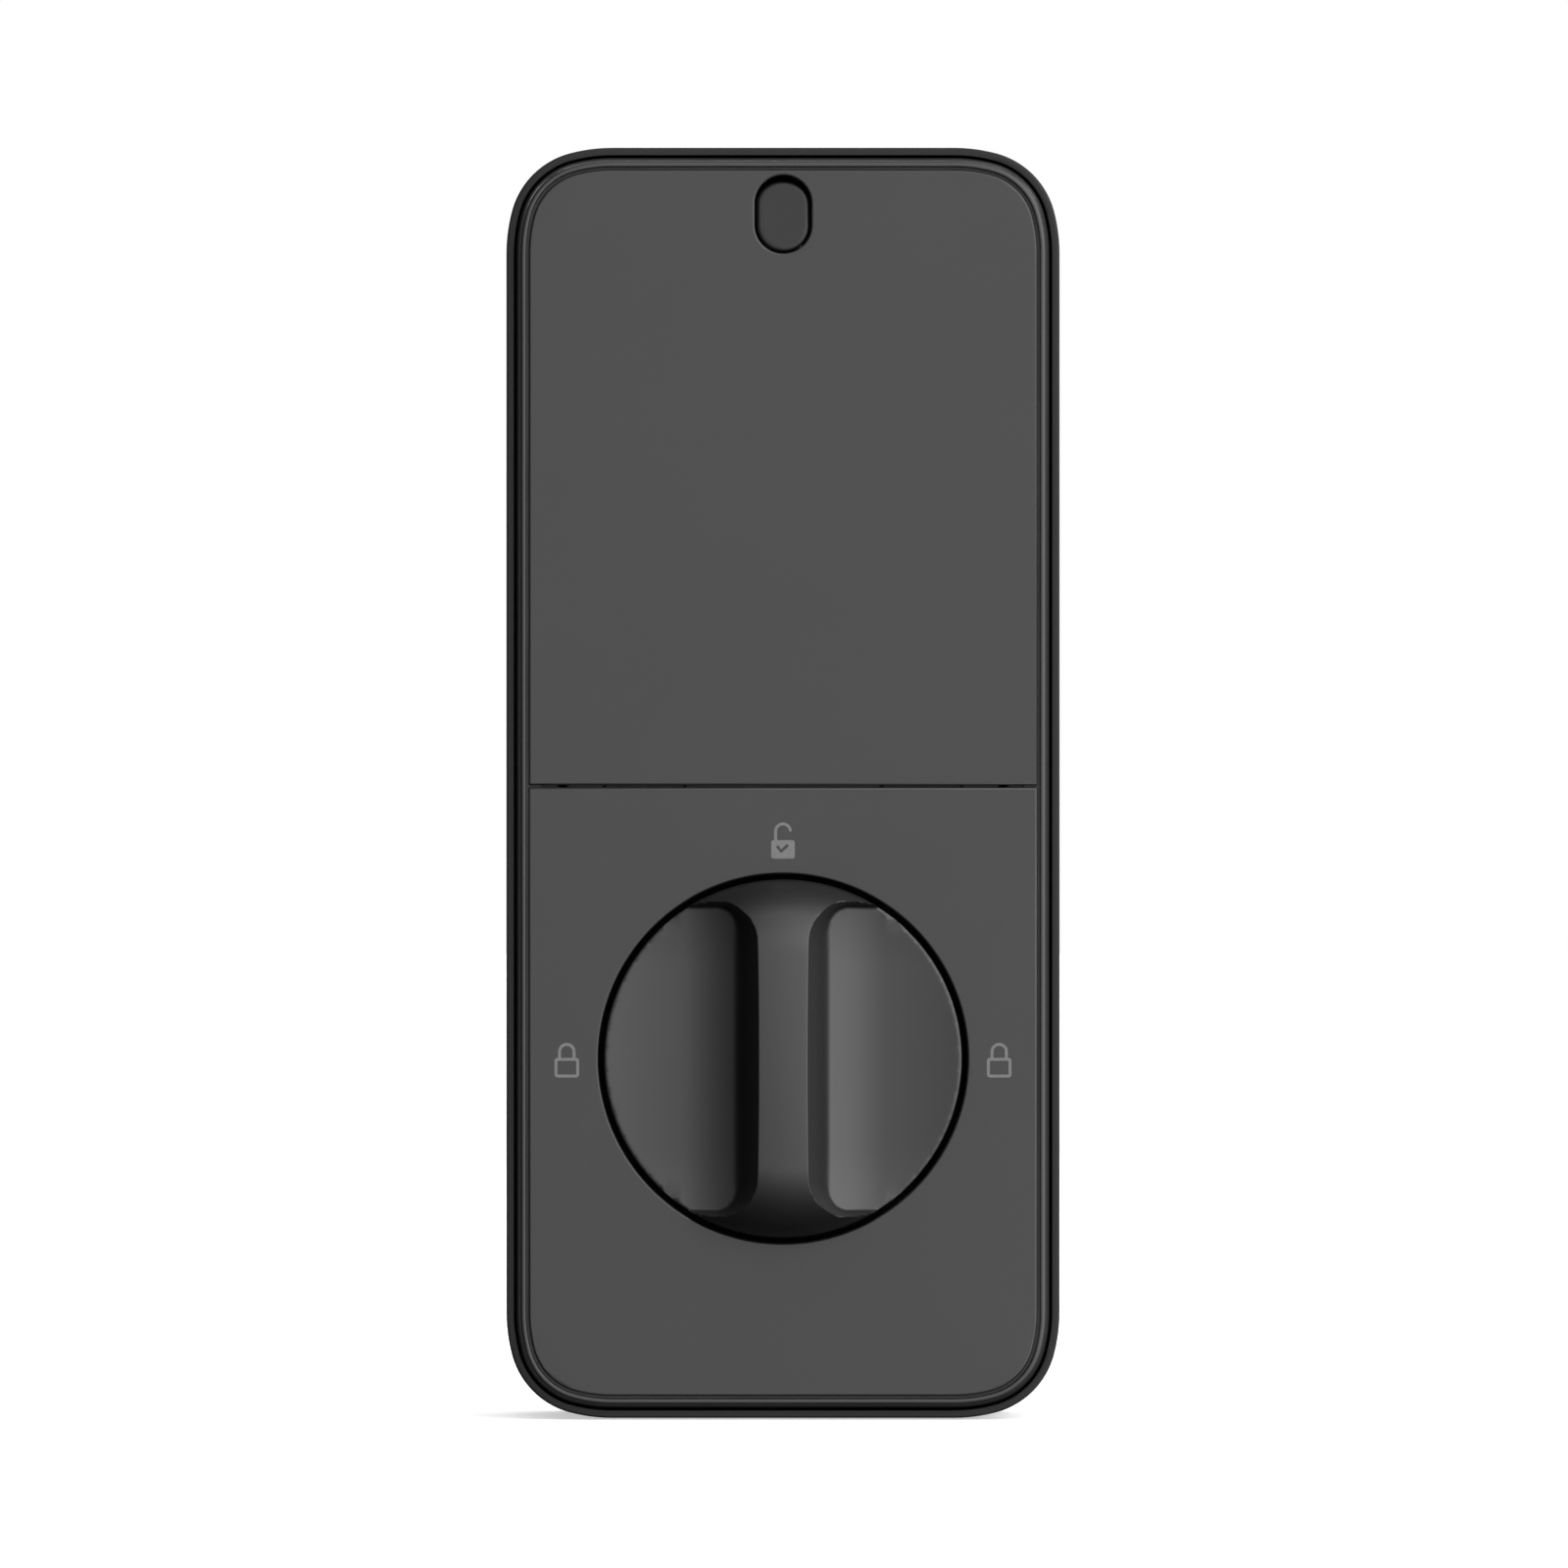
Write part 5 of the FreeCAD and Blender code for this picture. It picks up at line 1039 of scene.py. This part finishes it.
nickel = worked_metal("steel_nickel_plated", ("#b7b2a8", "#c9c4ba"), (0.22, 0.32), 0.4 * mm, 0.003 * mm)
film_dark = shrink_film("shrink_film_graphite", ("#22262b", "#272b31"))
film_band = shrink_film("shrink_film_copper", ("#a5652c", "#b06e33"))
band_from = 37.5 * mm
for index in range(4):
    node = f"battery_{index + 1}"
    low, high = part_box(node)
    plus_up = index % 2 == 0
    x, y, radius = (low.x + high.x) / 2, (low.y + high.y) / 2, (high.x - low.x) / 2
    can = [(0, 0), (5.0 * mm, 0), (5.2 * mm, 0.25 * mm), (radius - 0.75 * mm, 0.25 * mm),
           (radius - 0.5 * mm, 0.02 * mm), (radius - 0.15 * mm, 0.1 * mm), (radius, 0.4 * mm),
           (radius, band_from), (radius, 48.9 * mm), (radius - 0.12 * mm, 49.3 * mm),
           (radius - 0.4 * mm, 49.5 * mm), (radius - 1.0 * mm, 49.45 * mm), (radius - 1.3 * mm, 49.2 * mm),
           (3.6 * mm, 49.3 * mm), (3.0 * mm, 49.5 * mm), (2.75 * mm, 49.8 * mm), (2.75 * mm, 50.3 * mm),
           (2.55 * mm, 50.5 * mm), (0, 50.5 * mm)]
    profile = [(r, low.z + along if plus_up else high.z - along) for r, along in can]
    bm = bmesh.new()
    lathe(bm, profile, (x, y, 0), "Z", 64)
    cell = made_piece(f"aa_cell_{index + 1}", bm, film_dark)
    for extra in (film_band, nickel):
        cell.data.materials.append(extra)
    for face in cell.data.polygons:
        along = face.center.z - low.z if plus_up else high.z - face.center.z
        out = math.hypot(face.center.x - x, face.center.y - y)
        bare = out < radius - 0.8 * mm
        face.material_index = 2 if bare else 1 if along > band_from else 0
    fit(cell, "housing", node)

# ---------------------------------------------------------------------------------------------
# Springs: nickel-plated conical coils at the minus ends, and the latch's torsion spring.
# A tree winds one wire on each foot point and turns the upper ones over.
# ---------------------------------------------------------------------------------------------
coil_tree, given = new_tree("coils_on_feet", [
    ("Wire", "Float"), ("Start", "Float"), ("End", "Float"), ("Height", "Float"), ("Turns", "Float"),
    ("Middle", "Float"), ("Turned", "Vector"), ("Material", "Material")])
spiral = add_node(coil_tree, "GeometryNodeCurveSpiral",
                  {"Resolution": 28, "Rotations": given.outputs["Turns"],
                   "Start Radius": given.outputs["Start"],
                   "End Radius": given.outputs["End"], "Height": given.outputs["Height"]})
wire = add_node(coil_tree, "GeometryNodeCurvePrimitiveCircle",
                {"Resolution": 12, "Radius": given.outputs["Wire"]}, mode="RADIUS")
coil = add_node(coil_tree, "GeometryNodeCurveToMesh",
                {"Curve": spiral.outputs[0], "Profile Curve": wire.outputs[0], "Fill Caps": True})
spot = add_node(coil_tree, "GeometryNodeInputPosition")
height = add_node(coil_tree, "ShaderNodeSeparateXYZ", {0: spot.outputs[0]})
upper = add_node(coil_tree, "ShaderNodeMath", {0: height.outputs["Z"], 1: given.outputs["Middle"]},
                 operation="GREATER_THAN")
over = add_node(coil_tree, "ShaderNodeMath", {0: upper.outputs[0], 1: math.pi}, operation="MULTIPLY")
flip = add_node(coil_tree, "ShaderNodeCombineXYZ", {0: over.outputs[0]})
turned = add_node(coil_tree, "ShaderNodeVectorMath", {0: flip.outputs[0], 1: given.outputs["Turned"]},
                  operation="ADD")
euler = add_node(coil_tree, "FunctionNodeEulerToRotation", {0: turned.outputs[0]})
wound = add_node(coil_tree, "GeometryNodeInstanceOnPoints",
                 {"Points": given.outputs["Geometry"], "Instance": coil.outputs[0],
                  "Rotation": euler.outputs[0]})
close_tree(coil_tree, given, wound.outputs[0])
spring_steel = worked_metal("spring_wire_nickel_plated", ("#a9a69e", "#bbb8b0"), (0.2, 0.3), 0.15 * mm,
                            0.002 * mm)
wire_radius, bay_middle_z = 0.38 * mm, 60 * mm
feet = []
for low, high in solids_of("battery_springs"):
    upper_end = low.z > bay_middle_z
    feet.append(((low.x + high.x) / 2, (low.y + high.y) / 2,
                 high.z - wire_radius if upper_end else low.z + wire_radius))
    spring_height = high.z - low.z
cell_springs = grown("battery_springs_coiled", scene_object("spring_feet", feet), coil_tree,
                     {"Wire": wire_radius, "Start": 3.8 * mm, "End": 2.0 * mm,
                      "Height": spring_height - 2 * wire_radius,
                      "Turns": 4.25, "Middle": bay_middle_z, "Turned": (0, 0, 0), "Material": spring_steel})
fit(cell_springs, "housing", "battery_springs")
spring_front_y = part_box("latch_spring")[0].y
thin_wire, coil_radius = 0.27 * mm, 1.06 * mm
coil_low, coil_high = 1.3 * mm, 4.0 * mm
latch_coil = grown("latch_spring_coiled",
                   scene_object("coil_foot", [(coil_low + thin_wire, pin_y, pin_z)]), coil_tree,
                   {"Wire": thin_wire, "Start": coil_radius, "End": coil_radius,
                    "Height": coil_high - coil_low - 2 * thin_wire, "Turns": 3.75, "Middle": 1.0,
                    "Turned": (0, math.pi / 2, 0), "Material": spring_steel})
bm = bmesh.new()
bm.from_mesh(latch_coil.data)
bpy.data.objects.remove(latch_coil)
lathe(bm, pin_profile(thin_wire, spring_front_y, pin_y, 0.05 * mm),
      (coil_high - thin_wire, 0, pin_z - coil_radius), angles=12)
latch_coil = made_piece("latch_spring_coiled", bm, spring_steel)
fit(latch_coil, "cover", "latch_spring")
bm = bmesh.new()
lathe(bm, pin_profile(0.75 * mm, latch_pin_low.x, latch_pin_high.x), (0, pin_y, pin_z), "X", 32)
latch_pin = made_piece("latch_pin_steel", bm, zinc)
fit(latch_pin, "cover", "latch_pin")

# ---------------------------------------------------------------------------------------------
# Battery bay: black ABS tray with a light grain, and stamped nickel-plated contact plates.
# The shapes are the design's own, with their edges softened as the mould and the die leave them.
# ---------------------------------------------------------------------------------------------


def finished_copy(name, node, body, material, bevel):
    """Merged copy of a CAD node's mesh with clean facets and softened edges."""
    bm = bmesh.new()
    bm.from_mesh(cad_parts[node].data)
    bmesh.ops.remove_doubles(bm, verts=bm.verts, dist=1e-7)
    bmesh.ops.dissolve_limit(bm, angle_limit=math.radians(1), verts=bm.verts, edges=bm.edges)
    fit(made_piece(name, bm, material, bevel=bevel), body, node)


inner_plastic = moulded_plastic("abs_black_inner", ("#141415", "#181819"), (0.48, 0.56), 0.4 * mm, 0.006 * mm)
finished_copy("battery_tray_moulding", "battery_tray", "housing", inner_plastic, 0.12 * mm)
finished_copy("battery_contacts_stamped", "battery_contacts", "housing", nickel, 0.06 * mm)

# ---------------------------------------------------------------------------------------------
# Electronics: green FR-4 board with copper traces under the solder mask, a tinned radio can,
# black epoxy chips, a nylon header, a sounder, and the setup switch under its nylon plunger.
# ---------------------------------------------------------------------------------------------


def solder_mask(name, tones):
    """Glossy solder mask; traces show as a faint raised pattern."""
    material, tree, shader = new_material(name, IOR=1.5, Coat_Weight=0.5, Coat_Roughness=0.15)
    place = tone_and_finish(tree, shader, tones, 8 * mm, (0.3, 0.38))
    upright = add_node(tree, "ShaderNodeMapping", {"Vector": place, "Rotation": (math.pi / 2, 0, 0)})
    traces = add_node(tree, "ShaderNodeTexBrick", {"Vector": upright.outputs[0], "Scale": 1 / (2.6 * mm),
                                                   "Mortar Size": 0.09, "Brick Width": 1.6,
                                                   "Row Height": 0.4})
    relief(tree, shader, traces.outputs["Fac"], 0.03 * mm)
    return material


def plain_plastic(name, tones, finish, specular=0.5):
    """Small moulded part or epoxy with a faint orange-peel surface."""
    material, tree, shader = new_material(name, IOR=1.5, Specular_IOR_Level=specular)
    place = tone_and_finish(tree, shader, tones, 3 * mm, finish)
    peel = add_node(tree, "ShaderNodeTexNoise", {"Vector": place, "Scale": 1 / (0.5 * mm), "Detail": 2.0})
    relief(tree, shader, peel.outputs["Fac"], 0.004 * mm)
    return material


epoxy = plain_plastic("epoxy_black_moulded", ("#1b1c1d", "#202122"), (0.45, 0.6))
nylon = plain_plastic("nylon_ivory", ("#cfc8b4", "#d8d2c0"), (0.4, 0.5))
tinned = worked_metal("steel_tinned_shield", ("#aeb0b0", "#bfc1c1"), (0.25, 0.35), 0.5 * mm, 0.004 * mm)
finished_copy("main_board_fr4", "main_board", "housing",
              solder_mask("solder_mask_green", ("#0d3a24", "#11452c")),
              0.05 * mm)
finished_copy("radio_module_can", "radio_module", "housing", tinned, 0.1 * mm)
finished_copy("board_chips_and_passives", "board_components", "housing", epoxy, 0.06 * mm)
finished_copy("setup_switch_body", "setup_switch", "housing", epoxy, 0.1 * mm)
finished_copy("cable_header_shroud", "cable_header", "housing", nylon, 0.1 * mm)
# The flex is black coverlay, and its black is also painted shade: it keeps the gap round the thumbturn dark
# where the flex shows through it.
finished_copy("motor_flex_lead", "motor_flex", "housing",
              plain_plastic("polyimide_black_coverlay_and_painted_shade", ("#0b0b0c", "#101011"), (0.5, 0.6), specular=0.2),
              0.02 * mm)
low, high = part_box("buzzer")
bm = bmesh.new()
lathe(bm, [(0, high.y), (4.5 * mm, high.y), (4.5 * mm, low.y + 0.3 * mm), (4.2 * mm, low.y),
           (0.9 * mm, low.y),
           (0.8 * mm, low.y + 0.1 * mm), (0.8 * mm, low.y + 1 * mm), (0, low.y + 1 * mm)], axis_of(low, high))
fit(made_piece("buzzer_case", bm, epoxy), "housing", "buzzer")
low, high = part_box("setup_button")
collar = -28.0 * mm
bm = bmesh.new()
lathe(bm, [(0, low.y + 0.25 * mm), (1.2 * mm, low.y + 0.2 * mm), (2.1 * mm, low.y),
           (2.4 * mm, low.y + 0.1 * mm),
           (2.5 * mm, low.y + 0.4 * mm), (2.5 * mm, collar), (3.2 * mm, collar),
           (3.3 * mm, collar + 0.1 * mm),
           (3.3 * mm, collar + 0.9 * mm), (3.2 * mm, collar + 1 * mm), (2.5 * mm, collar + 1 * mm),
           (2.5 * mm, high.y - 0.2 * mm), (2.3 * mm, high.y), (0, high.y)], axis_of(low, high))
fit(made_piece("setup_button_plunger", bm, nylon), "setup_plunger", "setup_button")

# ---------------------------------------------------------------------------------------------
# Gear drive: acetal gears between two black-phosphated steel plates, a brass motor pinion,
# sintered bronze bushes, blackened steel posts and axles, and a flat motor in a drawn can.
# ---------------------------------------------------------------------------------------------
acetal = plain_plastic("acetal_natural", ("#c9c6bd", "#d3d0c8"), (0.35, 0.45))
brass = worked_metal("brass_turned", ("#a98a45", "#b8994f"), (0.22, 0.32), 0.2 * mm, 0.003 * mm, (1, 30, 1))
turned_steel = worked_metal("steel_turned", ("#9a9c9e", "#abadaf"), (0.22, 0.34), 0.2 * mm, 0.003 * mm,
                            (1, 30, 1))
bronze = worked_metal("bronze_sintered", ("#8a6a3f", "#9c7a4b"), (0.38, 0.5), 0.12 * mm, 0.01 * mm)
die_cast = worked_metal("zinc_die_cast", ("#8f9296", "#a0a3a7"), (0.34, 0.46), 0.6 * mm, 0.01 * mm)
for name, node, body, slot, material, bevel in (
        ("output_gear_acetal", "output_gear", "thumbturn", "gear_plastic", acetal, 0.06),
        ("second_gear_acetal", "gear_stage_2", "second_stage", "gear_plastic", acetal, 0.04),
        ("first_gear_acetal", "gear_stage_1", "first_stage", "gear_plastic", acetal, 0.04),
        ("motor_pinion_brass", "motor_pinion", "motor_rotor", "brass", brass, 0.03),
        ("gearbox_base_plate", "gearbox_base", "housing", "plate_steel", phosphated, 0.08),
        ("gearbox_cover_plate", "gearbox_cover", "housing", "plate_steel", phosphated, 0.08),
        ("front_bush_bronze", "front_bush", "housing", "bronze", bronze, 0.1),
        ("rear_bush_bronze", "rear_bush", "housing", "bronze", bronze, 0.1),
        ("retaining_clip_spring_steel", "retaining_clip", "thumbturn", "spring_steel", spring_steel, 0.06),
        ("thumbturn_spindle_die_cast", "thumbturn_spindle", "thumbturn", "die_cast", die_cast, 0.15),
        ("position_magnet_nickel", "position_magnet", "thumbturn", "spring_steel", nickel, 0.1)):
    finished_copy(name, node, body, material, bevel * mm)
for node, name in (("gearbox_posts", "gearbox_posts_blackened"), ("gear_axles", "gear_axles_blackened")):
    finished_copy(name, node, "housing", phosphated, 0.1 * mm)
low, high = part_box("motor_shaft")
bm = bmesh.new()
lathe(bm, pin_profile((high.x - low.x) / 2, low.y, high.y), axis_of(low, high), angles=32)
fit(made_piece("motor_shaft_turned", bm, turned_steel), "motor_rotor", "motor_shaft")
low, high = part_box("motor")
axis = axis_of(low, high)
can_back, can_radius, cap_radius = low.y + 12 * mm, (high.x - low.x) / 2, 8.4 * mm
bm = bmesh.new()
lathe(bm, [(cap_radius, low.y + 0.8 * mm), (cap_radius, low.y + 0.2 * mm), (cap_radius + 0.2 * mm, low.y),
           (can_radius - 0.8 * mm, low.y), (can_radius - 0.3 * mm, low.y + 0.3 * mm),
           (can_radius, low.y + 0.9 * mm),
           (can_radius, can_back - 0.3 * mm), (can_radius - 0.3 * mm, can_back), (3.1 * mm, can_back),
           (3 * mm, can_back + 0.1 * mm), (3 * mm, high.y - 0.2 * mm), (2.8 * mm, high.y), (0.8 * mm, high.y),
           (0.8 * mm, high.y - 1 * mm), (0, high.y - 1 * mm)], axis, angles=96)
lathe(bm, [(0, low.y + 0.8 * mm), (cap_radius, low.y + 0.8 * mm)], axis, angles=96)
motor_can = made_piece("motor_can_drawn", bm, worked_metal("steel_drawn_can", ("#8d9092", "#9da0a2"),
                                                           (0.28, 0.4),
                                                           0.3 * mm, 0.004 * mm, (1, 12, 1)))
fit(motor_can, "housing", "motor")
bm = bmesh.new()
lathe(bm, pin_profile(cap_radius - 0.05 * mm, low.y + 0.25 * mm, low.y + 0.85 * mm), axis)
for s in (1, -1):
    tag_x = axis[0] + s * 5.4 * mm
    block(bm, tag_x - 0.9 * mm, tag_x + 0.9 * mm, low.y, low.y + 0.4 * mm,
          axis[2] - 0.25 * mm, axis[2] + 0.25 * mm)
fit(made_piece("motor_end_cap", bm, epoxy), "housing", "motor")

# ---------------------------------------------------------------------------------------------
# Mounting plate: 1.6 mm galvanised steel with a fine spangle, stamped and folded at its foot.
# Two turned standoffs are riveted to it for the plate screws.
# ---------------------------------------------------------------------------------------------


def galvanised(name, tones):
    """Hot-dip zinc: crystals about 3 mm across that differ in tone and gloss."""
    material, tree, shader = new_material(name, Metallic=1.0)
    place = add_node(tree, "ShaderNodeTexCoord").outputs["Object"]
    crystals = add_node(tree, "ShaderNodeTexVoronoi", {"Vector": place, "Scale": 1 / (3 * mm)})
    level = add_node(tree, "ShaderNodeSeparateColor", {0: crystals.outputs["Color"]})
    toned(tree, shader, tones, (0.36, 0.5), level.outputs[0], level.outputs[1], (0.0, 1.0))
    fine = add_node(tree, "ShaderNodeTexNoise", {"Vector": place, "Scale": 1 / (0.3 * mm)})
    relief(tree, shader, fine.outputs["Fac"], 0.004 * mm)
    return material


spangled = galvanised("steel_galvanised_spangle", ("#92969a", "#a6aaad"))
finished_copy("mounting_plate_stamped", "mounting_plate", "housing", spangled, 0.15 * mm)
finished_copy("plate_standoffs_turned", "plate_standoffs", "housing", turned_steel, 0.12 * mm)

# ---------------------------------------------------------------------------------------------
# Studio: seamless pale floor, one broad soft key high on the right, a strip light over the top
# and two fills behind the sides. The camera stands square to the front with a long lens.
# ---------------------------------------------------------------------------------------------
scene = bpy.context.scene
floor_size, floor_z = 6.0, shell_low.z - 0.0002
floor_mesh = bpy.data.meshes.new("studio_floor")
floor_mesh.from_pydata([(-floor_size, -floor_size, floor_z), (floor_size, -floor_size, floor_z),
                        (floor_size, floor_size, floor_z), (-floor_size, floor_size, floor_z)], [],
                       [(0, 1, 2, 3)])
floor = bpy.data.objects.new("studio_floor", floor_mesh)
scene.collection.objects.link(floor)
paper, paper_tree, paper_shader = new_material("white_studio_paper", Specular_IOR_Level=0.0,
                                               Emission_Color=linear("#ffffff"), Emission_Strength=0.5)
tone_and_finish(paper_tree, paper_shader, ("#d8d8d8", "#dcdcdc"), 0.3, (0.9, 0.95))
floor_mesh.materials.append(paper)
floor.visible_glossy = floor.visible_diffuse = False

# The key and the rear fill are soft glows of the surroundings, on top of an even ambient.
world = bpy.data.worlds.new("studio")
world.use_nodes = True
scene.world = world
sky = world.node_tree
sky.nodes.clear()
way = add_node(sky, "ShaderNodeTexCoord").outputs["Generated"]


def glow(turn, rise, spread, peak, rest):
    """Adds a soft round light in one direction, all in degrees, to a strength."""
    turn, rise = math.radians(turn), math.radians(rise)
    towards = (math.sin(turn) * math.cos(rise), -math.cos(turn) * math.cos(rise), math.sin(rise))
    along = add_node(sky, "ShaderNodeVectorMath", {0: way, 1: towards},
                     operation="DOT_PRODUCT").outputs["Value"]
    short = add_node(sky, "ShaderNodeMath", {0: along, 1: 1.0}, operation="SUBTRACT")
    power = add_node(sky, "ShaderNodeMath", {0: short.outputs[0], 1: 1 / math.radians(spread) ** 2},
                     operation="MULTIPLY")
    fall = add_node(sky, "ShaderNodeMath", {0: math.e, 1: power.outputs[0]}, operation="POWER")
    return add_node(sky, "ShaderNodeMath", {0: fall.outputs[0], 1: peak, 2: rest},
                    operation="MULTIPLY_ADD").outputs[0]


ambient = 0.012
rear_glow = glow(180, 5, 22, 2.6, ambient)
strength = glow(40, 18, 30, 5.4, rear_glow)
lit = add_node(sky, "ShaderNodeBackground", {"Color": linear("#ffffff"), "Strength": strength})
seen = add_node(sky, "ShaderNodeBackground", {"Color": linear("#ffffff"), "Strength": 1.0})
ray = add_node(sky, "ShaderNodeLightPath")
mixed = add_node(sky, "ShaderNodeMixShader", {0: ray.outputs["Is Camera Ray"], 1: lit.outputs[0],
                                              2: seen.outputs[0]})
add_node(sky, "ShaderNodeOutputWorld", {"Surface": mixed.outputs[0]})


def soft_light(name, place, target, size, power):
    """Rectangular area light that faces a point."""
    data = bpy.data.lights.new(name, "AREA")
    data.shape, data.energy = "RECTANGLE", power
    data.size, data.size_y = size
    light = bpy.data.objects.new(name, data)
    light.location = place
    light.rotation_euler = (Vector(target) - Vector(place)).to_track_quat("-Z", "Y").to_euler()
    scene.collection.objects.link(light)


middle = (0, -0.015, (shell_low.z + shell_high.z) / 2)
soft_light("top_strip", (0.05, -0.45, 0.95), middle, (0.6, 0.15), 0.6)
soft_light("right_rear_fill", (0.5, 0.9, 0.35), middle, (0.4, 0.6), 2.5)
soft_light("left_rear_fill", (-0.5, 0.9, 0.35), middle, (0.4, 0.6), 2.5)
soft_light("rear_fill", (0.0, 1.1, 0.7), middle, (0.8, 0.6), 6)

camera_data = bpy.data.cameras.new("camera")
camera = bpy.data.objects.new("camera", camera_data)
scene.collection.objects.link(camera)
camera_distance, view_width = 2.2, 0.2038
camera_data.sensor_width = 36.0
camera_data.lens = camera_data.sensor_width * camera_distance / view_width
camera_x, camera_z = 0.13 * mm, 35.7 * mm
camera.location = (camera_x, panel_y - camera_distance, camera_z)
camera.rotation_euler = (math.pi / 2, 0, 0)
camera_data.clip_end = 50
scene.camera = camera
scene.view_settings.view_transform = "Standard"
